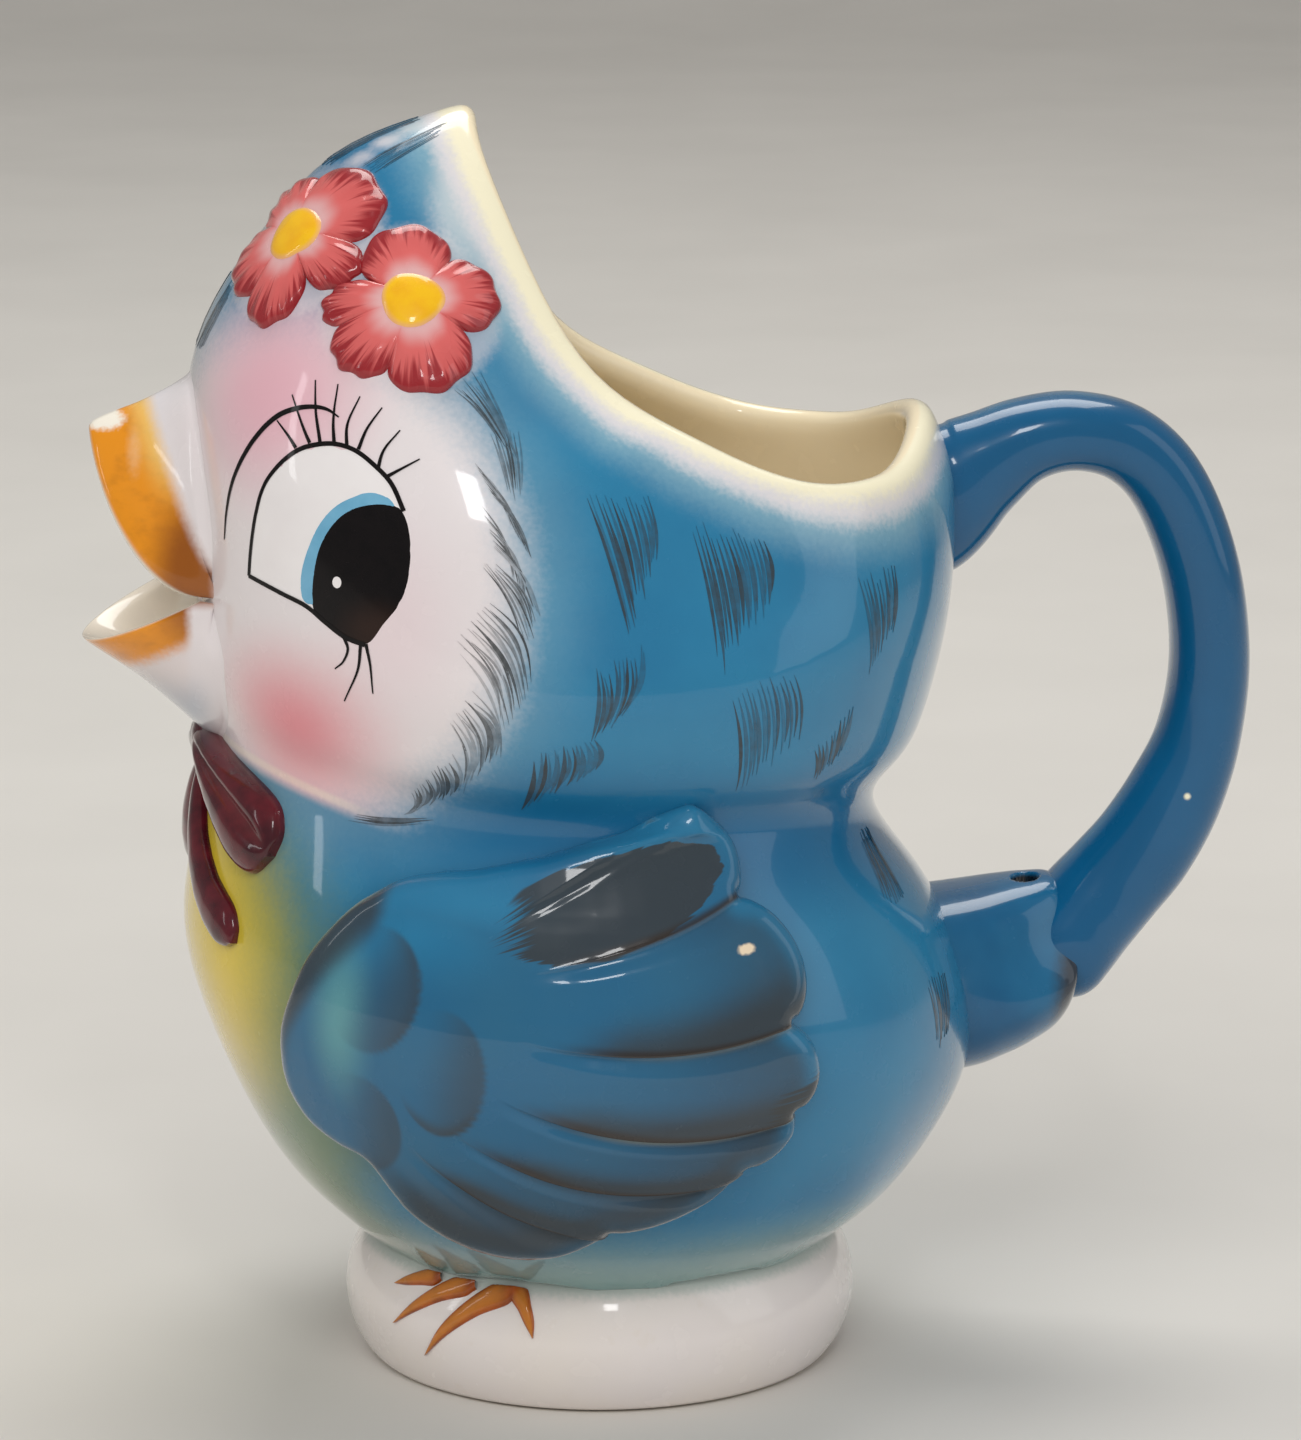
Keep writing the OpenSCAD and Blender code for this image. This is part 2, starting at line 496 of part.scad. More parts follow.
// Petals of one blossom on the skin at [u, v], bent to the head's curve
module petals(u, v, lobes, turn) {
    c = skin(u, v);
    o = skin_n(u, v);
    e = unit(cross(o, [0, 1, 0]));
    f = cross(o, e);
    prof = [[1, 0.3], [0.94, 0.75], [0.78, 1], [0.55, 0.85], [0.3, 0.6]];
    difference() {
        edge = lobe_edge(lobes, turn);
        loft(concat([for (k = [0.8, 1]) [for (g = edge) c + petal(g, k, -0.8 * petal_t, e, f, o)]],
            [for (k = prof) [for (g = edge)
                c + petal(g, k[0], petal_t * (k[1] - 0.35 * (1 - g[2]) * k[0]), e, f, o)]]));
        seat_block(column(u) - 6, column(u) + 6, row(v) - 5, rows, wall);
        blossom_ball(u, v);
    }
}
function petal(g, r, h, e, f, o) = let (q = r * g[1] * blossom_d / 2)
    (e * cos(g[0]) + f * sin(g[0])) * q + o * (h - q * q / (1.066 * crown_w));
module blossom_ball(u, v) {
    translate(skin(u, v) - skin_n(u, v) * 0.06 * centre_d) sphere(d = 1.21 * centre_d);
}
module blossom_centre(u, v) {
    difference() {
        blossom_ball(u, v);
        seat_block(column(u) - 4, column(u) + 4, row(v) - 4, rows, wall + centre_d / 5);
    }
}
module blossom_front_petals() {
    color([0.85, 0.45, 0.4]) petals(-160, 7.78, front_lobes, 115.6);
}
module blossom_front_centre() {
    color([0.9, 0.75, 0.2]) blossom_centre(-160, 7.78);
}
module blossom_side_petals() {
    color([0.85, 0.45, 0.4]) petals(-140, 8.15, side_lobes, 180);
}
module blossom_side_centre() {
    color([0.9, 0.75, 0.2]) blossom_centre(-140, 8.15);
}

// The bow under the beak: knot, two loops and two ribbon ends
module knot_solid() {
    loft(pad_loops([[180, 4.2, 0.6 * knot_w / 2, 0.8 * bow_t], [180, 4, knot_w / 2, 2.1 * bow_t],
        [180, 3.8, 0.6 * knot_w / 2, 0.8 * bow_t]], 6));
}
module bow_knot() {
    color([0.3, 0.08, 0.1])
    difference() {
        knot_solid();
        seat_block(19, 29, 12, 21, 6);
        lower_beak();
    }
}
module loop_solid() {
    loft(pad_loops([[-179, 4.02, 0.32 * loop_w, 1.4 * bow_t], [-170, 3.84, 0.38 * loop_w, 1.3 * bow_t],
        [-161, 3.62, 0.48 * loop_w, 1.1 * bow_t], [-153.5, 3.38, 0.5 * loop_w, bow_t],
        [-149, 3.22, 0.38 * loop_w, 0.6 * bow_t]], 12));
}
module bow_loop_left() {
    color([0.3, 0.08, 0.1])
    difference() {
        loop_solid();
        seat_block(19, 33, 8, 21, 6);
        knot_solid();
    }
}
module bow_loop_right() {
    mirror([0, 1, 0]) bow_loop_left();
}
module ribbon_solid() {
    loft(pad_loops([[-178, 3.95, 0.3 * ribbon_w, 0.6 * bow_t], [-171, 3.5, 0.36 * ribbon_w, 0.7 * bow_t],
        [-164, 3, 0.44 * ribbon_w, 0.7 * bow_t], [-157, 2.4, 0.56 * ribbon_w, 0.6 * bow_t]], 10));
}
module bow_tail_left() {
    color([0.3, 0.08, 0.1])
    difference() {
        ribbon_solid();
        seat_block(19, 33, 6, 21, 6);
        knot_solid();
        loop_solid();
    }
}
module bow_tail_right() {
    mirror([0, 1, 0]) bow_tail_left();
}

// Toes on the side of the foot: a path of [angle, height] points, half width scale
function foot_pt(a, z, h) = let (r = foot_r(z), n = [r - foot_xc, z - foot_zc] / foot_bulge_r)
    [(r + h * n[0]) * cos(a), (r + h * n[0]) * sin(a), z + h * n[1]];
module toe(path) {
    loft([for (k = [0 : 7])
        let (s = k / 7 * (len(path) - 1), p = curve(path, s),
             q = curve(path, s + 0.05), r = curve(path, s - 0.05),
             c = foot_pt(p[0], p[1], 0), o = unit(foot_pt(p[0], p[1], 1) - c),
             t = unit(foot_pt(q[0], q[1], 0) - foot_pt(r[0], r[1], 0)), l = cross(o, t))
        [for (e = [[-1, -1], [1, -1], [1, 0.25], [0.6, 0.82], [0, 1], [-0.6, 0.82], [-1, 0.25]])
            c + l * e[0] * p[2] * toe_w / 2 + o * (e[1] < 0 ? -1 : e[1] * p[2] * toe_t)]]);
}
// A toe of the left foot, from under the body's edge downward and forward
toe_top = foot_h - 0.9;
module seated_toe(path) {
    color([0.8, 0.45, 0.2])
    difference() {
        toe(path);
        foot_solid();
        translate([0, 0, foot_h]) cylinder(r = foot_xc + 2 * foot_bulge_r, h = foot_h);
    }
}
module toe_front_left() {
    seated_toe([[-135, toe_top, 0.8], [-141, toe_top - 0.8, 1], [-149, toe_top - 2.2, 0.4]]);
}
module toe_middle_left() {
    seated_toe([[-126, toe_top, 0.8], [-135, toe_top - 2.2, 1], [-147, toe_top - 5, 0.4]]);
}
module toe_rear_left() {
    seated_toe([[-116, toe_top, 0.8], [-125, toe_top - 3.2, 1], [-137, toe_top - 7, 0.4]]);
}
module spur_left() {
    seated_toe([[-110.5, toe_top, 0.7], [-109, toe_top - 2.2, 0.8], [-107.5, toe_top - 4.2, 0.35]]);
}
module toe_front_right() {
    mirror([0, 1, 0]) toe_front_left();
}
module toe_middle_right() {
    mirror([0, 1, 0]) toe_middle_left();
}
module toe_rear_right() {
    mirror([0, 1, 0]) toe_rear_left();
}
module spur_right() {
    mirror([0, 1, 0]) spur_left();
}

jug_body();
foot_ring();
handle();
tail();
upper_beak();
lower_beak();
wing_left();
wing_right();
blossom_front_petals();
blossom_front_centre();
blossom_side_petals();
blossom_side_centre();
bow_knot();
bow_loop_left();
bow_loop_right();
bow_tail_left();
bow_tail_right();
toe_front_left();
toe_middle_left();
toe_rear_left();
spur_left();
toe_front_right();
toe_middle_right();
toe_rear_right();
spur_right();
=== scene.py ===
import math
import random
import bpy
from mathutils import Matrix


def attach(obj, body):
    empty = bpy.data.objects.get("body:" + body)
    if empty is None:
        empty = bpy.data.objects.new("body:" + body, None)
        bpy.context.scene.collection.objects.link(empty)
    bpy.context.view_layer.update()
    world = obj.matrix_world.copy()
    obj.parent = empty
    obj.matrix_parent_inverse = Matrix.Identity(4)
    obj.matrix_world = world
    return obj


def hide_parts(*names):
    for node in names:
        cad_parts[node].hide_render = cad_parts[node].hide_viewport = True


bl_info = {
    "name": "Bird cream jug",
    "version": (1, 0, 0),
    "blender": (4, 5, 0),
    "location": "View3D > Sidebar > Cream jug",
    "description": "Builds a hand painted ceramic cream jug in the shape of a bird",
    "category": "Object",
}

import bmesh
import bpy
from mathutils import Vector
from mathutils.bvhtree import BVHTree
from mathutils.interpolate import poly_3d_calc
from mathutils.kdtree import KDTree

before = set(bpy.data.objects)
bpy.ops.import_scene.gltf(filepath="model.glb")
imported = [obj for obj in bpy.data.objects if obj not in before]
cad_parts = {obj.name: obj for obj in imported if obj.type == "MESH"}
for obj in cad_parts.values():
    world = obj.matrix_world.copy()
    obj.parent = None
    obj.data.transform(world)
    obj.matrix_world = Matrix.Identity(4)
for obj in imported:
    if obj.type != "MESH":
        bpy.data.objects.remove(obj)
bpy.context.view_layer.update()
MM = 0.001
# Grid points closer than this, in metres, become one
WELD = 2e-7
# Turn in degrees and height in mm of the wing's root, and the flank chart's mm to a degree
ROOT_TURN, ROOT_HEIGHT, DEGREE = -121.5, 42.4, 0.55
# Middle and half axes in mm of the oval that the flank chart is unrolled from
FLANK_X, FLANK_DEEP, FLANK_WIDE = -1.5, 35.3, 33.0
# Radius that the foot's chart is unrolled at, and the highest place on it for a toe, in mm
FOOT_RADIUS, FOOT_TOP = 21.0, 11.25
# How far out in mm the rays start that are sent at the flank, a flat chart, the foot and the face
FLANK_START, FLAT_START, FOOT_START, FACE_START = 80, 20, 60, 70
# Middles of the two blossoms in mm
FLOWERS = {"side": (-17.8, -16, 99), "front": (-26.8, -6.8, 103.5)}


def tint(red, green, blue):
    """Scene colour of a paint that is named by its screen values, 0 to 255."""
    parts = (red / 255, green / 255, blue / 255)
    return tuple(
        v / 12.92 if v <= 0.04045 else ((v + 0.055) / 1.055) ** 2.4 for v in parts
    )


def paint(name, description, *screen):
    """Colour property of one paint."""
    return bpy.props.FloatVectorProperty(
        name=name,
        description=description,
        subtype="COLOR",
        size=3,
        min=0.0,
        max=1.0,
        default=tint(*screen),
    )


def size(name, description, value):
    """Length property, in metres."""
    return bpy.props.FloatProperty(
        name=name,
        description=description,
        subtype="DISTANCE",
        unit="LENGTH",
        min=0.0,
        default=value * MM,
    )


class CreamJugPaints(bpy.types.PropertyGroup):
    """Paints and glazes of the jug."""

    sky: paint("Sky blue", "Airbrushed blue of the body", 42, 130, 172)
    deep: paint("Deep blue", "Blue in the neck groove and under the wing", 14, 97, 144)
    mist: paint("Mist blue", "Thin blue below the rim", 170, 204, 212)
    ivory: paint("Ivory", "Bare glaze on the rim", 251, 244, 214)
    inside: paint("Inside", "Clear glaze over the inside", 255, 240, 206)
    shallow: paint("Shallow teal", "Thin colour above the foot", 134, 168, 160)
    face: paint("Face", "Bare white of the face", 234, 227, 229)
    haze: paint("Forehead haze", "Pink spray over the brow", 234, 178, 192)
    blush: paint("Blush", "Pink spray on the cheek", 230, 124, 136)
    breast: paint("Breast", "Yellow of the breast", 228, 200, 48)
    moss: paint("Moss", "Green where yellow runs into blue", 104, 130, 84)
    loop: paint("Handle blue", "Deep blue of the handle and tail", 6, 86, 130)
    wing: paint("Wing blue", "Blue of the wing", 40, 104, 140)
    # Painted sheen: a lighter green blue laid on the shoulder of the wing
    teal: paint("Wing sheen", "Thin green blue on the shoulder of the wing", 100, 162, 166)
    smoke: paint("Smoke", "Dark brushed colour on feathers", 54, 57, 58)
    covert: paint("Covert", "Slate of the small feathers", 50, 76, 96)
    # Umber also draws the painted shadow line in the groove under each feather
    umber: paint("Umber", "Brown line under a feather", 48, 38, 30)
    # Straw also stands for a painted highlight along the upper edge of each feather
    straw: paint("Straw", "Bare edges of the wing", 212, 202, 150)
    petal: paint("Petal", "Salmon pink of the petals", 224, 106, 104)
    brush: paint("Petal brush", "Red brush marks on the petals", 150, 26, 36)
    centre: paint("Flower centre", "Yellow centre of a flower", 252, 196, 20)
    bow: paint("Bow", "Maroon of the bow", 96, 22, 34)
    beak: paint("Beak", "Orange of the beak", 238, 150, 24)
    horn: paint("Beak shade", "Brown at the corner of the beak", 146, 78, 14)
    toe: paint("Toe", "Orange brown of the toes", 178, 84, 14)
    foot: paint("Foot", "White glaze of the foot", 240, 231, 221)
    bisque: paint("Bisque", "Bare clay under the foot", 222, 208, 188)
    ink: paint("Ink", "Black of the eye lines", 14, 13, 15)
    iris: paint("Iris", "Blue crescent of the eye", 128, 190, 222)


class CreamJugSizes(bpy.types.PropertyGroup):
    """Sizes of the paint marks and of the low relief."""

    film: size("Paint film", "Height of a brush mark over the glaze", 0.05)
    line: size("Eye line", "Width of the lines round the eye", 0.42)
    lash: size("Lash", "Width of a lash at its root", 0.34)
    wing: size("Wing relief", "Height of the wing over the body", 2.5)
    groove: size("Feather step", "Height of the step between feathers", 1.0)
    petal: size("Petal relief", "Height of a blossom over the head", 0.9)
    vent: size("Vent", "Diameter of the hole on the tail", 2.4)
    seed: bpy.props.IntProperty(
        name="Brush seed", description="Seed of the brush marks", min=0, default=11
    )


def paints():
    return bpy.context.scene.cream_jug_paints


def sizes():
    return bpy.context.scene.cream_jug_sizes


def along(points, share):
    """Point at a share from 0 to 1 of a smooth curve through a few points."""
    last = len(points) - 1
    k = max(0, min(int(share * last), last - 1))
    f = share * last - k
    b, c = points[k], points[k + 1]
    a = points[k - 1] if k > 0 else [2 * v - w for v, w in zip(b, c)]
    d = points[k + 2] if k + 2 <= last else [2 * w - v for v, w in zip(b, c)]
    blend = lambda p, q, r, s: 0.5 * (
        2 * q
        + (r - p) * f
        + (2 * p - 5 * q + 4 * r - s) * f * f
        + (3 * q - p - 3 * r + s) * f * f * f
    )
    return [blend(*four) for four in zip(a, b, c, d)]


def heading(points, share, reach=0.01):
    """Way that the first two values of a smooth curve take at a share of it."""
    ahead = along(points, min(1.0, share + reach))
    behind = along(points, max(0.0, share - reach))
    return ahead[0] - behind[0], ahead[1] - behind[1]


def ring(points, share):
    """Point at a share from 0 to 1 of a smooth closed curve through a few points."""
    n = len(points)
    k = int(share * n) % n
    near = [points[(k + i) % n] for i in (-1, 0, 1, 2)]
    return along(near, (1 + share * n - int(share * n)) / 3)


def ease(low, high, value):
    """Smooth step from 0 at low to 1 at high."""
    t = max(0.0, min(1.0, (value - low) / (high - low)))
    return t * t * (3 - 2 * t)


def soft(value, power):
    """Power of a sine or cosine that keeps its sign, for round and square sections."""
    return math.copysign(abs(value) ** power, value)


def folded(share, top):
    """Reach from the middle of a disc whose upper side takes this much of its rows, and whether
    the share lies on the upper side. The other rows come back under it."""
    if share <= top:
        return min(1.0, share / top), True
    return (1 - share) / (1 - top), False


def depth_in(outline, p, q):
    """Distance from a point to an outline, above 0 inside it and below 0 outside."""
    inside, near = False, 1e9
    for (a1, b1), (a2, b2) in zip(outline, outline[1:] + outline[:1]):
        if (b1 > q) != (b2 > q) and p < a1 + (q - b1) * (a2 - a1) / (b2 - b1):
            inside = not inside
        run = (a2 - a1) ** 2 + (b2 - b1) ** 2
        f = max(0.0, min(1.0, ((p - a1) * (a2 - a1) + (q - b1) * (b2 - b1)) / run))
        near = min(near, math.hypot(p - a1 - f * (a2 - a1), q - b1 - f * (b2 - b1)))
    return near if inside else -near


def shaped(bm, across, rows, place, marks=()):
    """Lays a grid, keeps its chart as UVs and carries each vertex to place(s, t) in mm.
    place returns the point and a dictionary of values for the marks."""
    chart = bm.loops.layers.uv.get("chart") or bm.loops.layers.uv.new("chart")
    floats = bm.verts.layers.float
    layers = {m: floats.get(m) or floats.new(m) for m in marks}
    layers["lean"] = bm.verts.layers.float_vector.get("lean")
    verts = bmesh.ops.create_grid(bm, x_segments=across, y_segments=rows, size=0.5)["verts"]
    spot = {v: (v.co.x + 0.5, v.co.y + 0.5) for v in verts}
    for face in {f for v in verts for f in v.link_faces}:
        for corner in face.loops:
            corner[chart].uv = spot[corner.vert]
    for v in verts:
        point, values = place(*spot[v])
        for key, value in values.items():
            v[layers[key]] = value
        v.co = Vector(point) * MM
    bmesh.ops.remove_doubles(bm, verts=verts, dist=WELD)
    return [v for v in verts if v.is_valid]


def linked(name, data):
    """New object in the scene."""
    made = bpy.data.objects.new(name, data)
    bpy.context.scene.collection.objects.link(made)
    return made


def meshed(bm, name, material):
    """New smooth mesh object of a bmesh, which is freed."""
    for face in bm.faces:
        face.smooth = True
    mesh = bpy.data.meshes.new(name)
    bm.to_mesh(mesh)
    bm.free()
    mesh.materials.append(material)
    return linked(name, mesh)


def settle(bm, name, material, nodes=(), levels=0, facing=True):
    """Makes a finished piece of a bmesh: it rides on the jug and stands for CAD nodes."""
    if facing:
        bmesh.ops.recalc_face_normals(bm, faces=bm.faces)
    piece = meshed(bm, name, material)
    mesh = piece.data
    lean = mesh.attributes.get("lean")
    if lean:
        mesh.normals_split_custom_set_from_vertices([d.vector for d in lean.data])
        mesh.attributes.remove(mesh.attributes["lean"])
    if levels:
        sub = piece.modifiers.new("Smooth", "SUBSURF")
        sub.levels = sub.render_levels = levels
    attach(piece, "root")
    if nodes:
        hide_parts(*nodes)
    return piece


def other_side(bm):
    """Mirror image of a bmesh across the jug's middle plane."""
    twin = bm.copy()
    bmesh.ops.scale(twin, vec=(1, -1, 1), verts=twin.verts)
    bmesh.ops.reverse_faces(twin, faces=twin.faces)
    lean = twin.verts.layers.float_vector.get("lean")
    if lean:
        for v in twin.verts:
            v[lean] = Vector((v[lean].x, -v[lean].y, v[lean].z))
    return twin


def pair(bm, name, material, nodes=()):
    """A piece on the bird's left and its mirror image on the right."""
    for side, half in (("_left", bm), ("_right", other_side(bm))):
        settle(half, name + side, material, [n + side for n in nodes])


class Skin:
    """Surface of a finished piece, for laying relief and paint on it."""

    kept = {}

    def __init__(self, piece):
        view = bpy.context.evaluated_depsgraph_get()
        shown = piece.evaluated_get(view)
        mesh = shown.to_mesh()
        self.points = [v.co.copy() for v in mesh.vertices]
        self.leans = [v.normal.copy() for v in mesh.vertices]
        self.faces = [tuple(p.vertices) for p in mesh.polygons]
        self.tree = BVHTree.FromPolygons(self.points, self.faces)
        shown.to_mesh_clear()

    @classmethod
    def of(cls, name):
        if name not in cls.kept:
            cls.kept[name] = cls(bpy.data.objects[name])
        return cls.kept[name]

    def cast(self, start, way):
        """Point in mm and smooth normal where a ray given in mm meets the surface."""
        hit, flat, index, _ = self.tree.ray_cast(Vector(start) * MM, Vector(way))
        if hit is None:
            raise RuntimeError(f"nothing to lay paint on from {tuple(start)}")
        corners = self.faces[index]
        shares = poly_3d_calc([self.points[i] for i in corners], hit)
        lean = Vector()
        for i, share in zip(corners, shares):
            lean += self.leans[i] * share
        lean.normalize()
        return hit / MM, lean if lean.dot(flat) > 0 else flat


def flank_chart(skin):
    """Chart of the bird's side: p mm backwards and q mm up from the wing's root."""

    def lay(p, q):
        turn = math.radians(ROOT_TURN + p / DEGREE)
        way = Vector((FLANK_DEEP * math.cos(turn), FLANK_WIDE * math.sin(turn), 0)).normalized()
        return skin.cast(Vector((FLANK_X, 0, ROOT_HEIGHT + q)) + way * FLANK_START, -way)

    return lay


def flank_spot(turn, height):
    """Place on the flank chart of a turn round the body and a height."""
    return ((turn - ROOT_TURN) * DEGREE, height - ROOT_HEIGHT)


def flat_chart(skin, middle, lean, right, up):
    """Chart on a plane that faces the skin, a mm to the right and b mm up."""
    middle, lean = Vector(middle), Vector(lean).normalized()
    right, up = Vector(right).normalized(), Vector(up).normalized()

    def lay(a, b):
        return skin.cast(middle + right * a + up * b + lean * FLAT_START, -lean)

    return lay


def foot_chart(skin):
    """Chart of the foot's side: turn in mm round it, and height."""

    def lay(p, q):
        turn = p / FOOT_RADIUS
        way = Vector((math.cos(turn), math.sin(turn), 0))
        return skin.cast(Vector((0, 0, min(q, FOOT_TOP))) + way * FOOT_START, -way)

    return lay


def band(bm, chart, path, rows, across, dome, under, crease=None):
    """Strip along a path of (a, b, half width, height) on a chart, with a closed under side.
    dome gives the height's share over the width, and crease a mark for the paint. A strip
    without it is a film of paint, which leans as the surface below does."""

    def place(s, t):
        a, b, half, height = along(path, t)
        half = max(half, 0.0)
        way_a, way_b = heading(path, t)
        run = math.hypot(way_a, way_b) or 1.0
        top = s <= 0.5
        w = -math.cos(2 * math.pi * s)
        point, lean = chart(a - way_b / run * w * half, b + way_a / run * w * half)
        rise = height * dome(w, t) if top and half > 1e-6 else -under
        values = {"crease": crease(w, t) if top else 0.0} if crease else {"lean": lean}
        return point + lean * rise, values

    return shaped(bm, across, rows, place, ["crease"] if crease else ())


def patch(bm, chart, outline, across, rows, rise, under):
    """Thin painted patch inside a closed outline on a chart, with a closed under side."""
    ca, cb = (sum(values) / len(outline) for values in zip(*outline))

    def place(s, t):
        a, b = ring(outline, s)
        reach, top = folded(t, 0.7)
        point, lean = chart(ca + (a - ca) * reach, cb + (b - cb) * reach)
        lift = rise * (1 - ease(0.9, 1.0, reach) * 0.9) if top else -under
        return point + lean * lift, {"lean": lean}

    return shaped(bm, across, rows, place)


def film_mesh():
    """Empty mesh for films of paint, which keep the leans of the surface below."""
    bm = bmesh.new()
    bm.verts.layers.float_vector.new("lean")
    return bm


class Coats:
    """Node tree in which paints are laid one over another, on places given in mm.
    colour is what has been laid so far."""

    def __init__(self, tree):
        self.tree = tree
        seat = self.node("ShaderNodeTexCoord").outputs["Object"]
        self.place = self.vector("SCALE", seat, scale=1 / MM)
        apart = self.node("ShaderNodeSeparateXYZ", Vector=self.place)
        self.x, self.y, self.z = apart.outputs
        self.both = self.spot(self.x, self.math("ABSOLUTE", self.y), self.z)
        self.colour = self.drift = None

    def put(self, value, socket):
        if isinstance(value, bpy.types.NodeSocket):
            self.tree.links.new(value, socket)
        elif socket.type == "RGBA":
            socket.default_value = (*value[:3], 1.0)
        else:
            socket.default_value = value

    def node(self, kind, settings=None, **inputs):
        made = self.tree.nodes.new(kind)
        for key, value in (settings or {}).items():
            setattr(made, key, value)
        for key, value in inputs.items():
            self.put(value, made.inputs[key.replace("_", " ")])
        return made

    def math(self, operation, a, b=None):
        made = self.node("ShaderNodeMath", {"operation": operation})
        self.put(a, made.inputs[0])
        if b is not None:
            self.put(b, made.inputs[1])
        return made.outputs[0]

    def vector(self, operation, a, b=None, scale=None):
        made = self.node("ShaderNodeVectorMath", {"operation": operation})
        self.put(a, made.inputs[0])
        if b is not None:
            self.put(b, made.inputs[1])
        if scale is not None:
            self.put(scale, made.inputs["Scale"])
        return made.outputs["Value" if operation == "LENGTH" else "Vector"]

    def spot(self, x, y=0.0, z=0.0):
        return self.node("ShaderNodeCombineXYZ", X=x, Y=y, Z=z).outputs[0]

    def times(self, *shares):
        out = shares[0]
        for share in shares[1:]:
            out = self.math("MULTIPLY", out, share)
        return out

    def plus(self, a, b, share):
        """Sum of a and a share of b."""
        return self.math("ADD", a, self.math("MULTIPLY", b, share))

    def apart(self, a, b):
        return self.math("ABSOLUTE", self.math("SUBTRACT", a, b))

    def grain(self, scale, detail=2.0, where=None, stretch=None):
        """Noise from 0 to 1 with this many cells to the mm."""
        seat = self.place if where is None else where
        if stretch:
            seat = self.vector("MULTIPLY", seat, stretch)
        made = self.node("ShaderNodeTexNoise", Vector=seat, Scale=scale, Detail=detail)
        return made.outputs["Fac"]

    def step(self, value, low, high):
        """Smooth step of a value, 0 at low and 1 at high."""
        made = self.node(
            "ShaderNodeMapRange",
            {"interpolation_type": "SMOOTHSTEP"},
            Value=value,
            From_Min=min(low, high),
            From_Max=max(low, high),
            To_Min=float(low > high),
            To_Max=float(low < high),
        )
        return made.outputs["Result"]

    def cloud(self, scale, low, high, detail=3.0):
        """Soft patches of noise."""
        return self.step(self.grain(scale, detail), low, high)

    def wander(self):
        """Slow and fine drift of the airbrush, made once for each tree."""
        if self.drift is None:
            slow = self.times(self.grain(0.09, 3.0), 0.62)
            self.drift = self.plus(slow, self.grain(2.2, 1.0), 0.38)
        return self.drift

    def push(self, value, noise, amount):
        """Value that a noise pushes to and fro."""
        return self.plus(value, self.math("SUBTRACT", noise, 0.5), amount)

    def ragged(self, value, amount):
        """Value that the airbrush's drift pushes to and fro."""
        return self.push(value, self.wander(), amount)

    def mist(self, middle, reach, core=0.2, edge=1.0, left_only=False, ragged=0.12):
        """Airbrushed spot: 1 in its core, fading to 0 at its edge, on both sides."""
        seat = self.place if left_only else self.both
        off = self.vector("SUBTRACT", seat, middle)
        off = self.vector("MULTIPLY", off, tuple(1.0 / r for r in reach))
        return self.step(self.ragged(self.vector("LENGTH", off), ragged), edge, core)

    def mix(self, under, over, share):
        made = self.node("ShaderNodeMix", {"data_type": "RGBA"})
        for value, index in ((share, 0), (under, 6), (over, 7)):
            self.put(value, made.inputs[index])
        return made.outputs[2]

    def coat(self, paint, *shares):
        """Lays a paint over the colour so far, by the product of the shares."""
        self.colour = self.mix(self.colour, paint, self.times(*shares))

    def mark(self, name):
        return self.node("ShaderNodeAttribute", {"attribute_name": name}).outputs["Fac"]

    def chart(self):
        uv = self.node("ShaderNodeUVMap", {"uv_map": "chart"})
        apart = self.node("ShaderNodeSeparateXYZ", Vector=uv.outputs[0])
        return apart.outputs[0], apart.outputs[1]


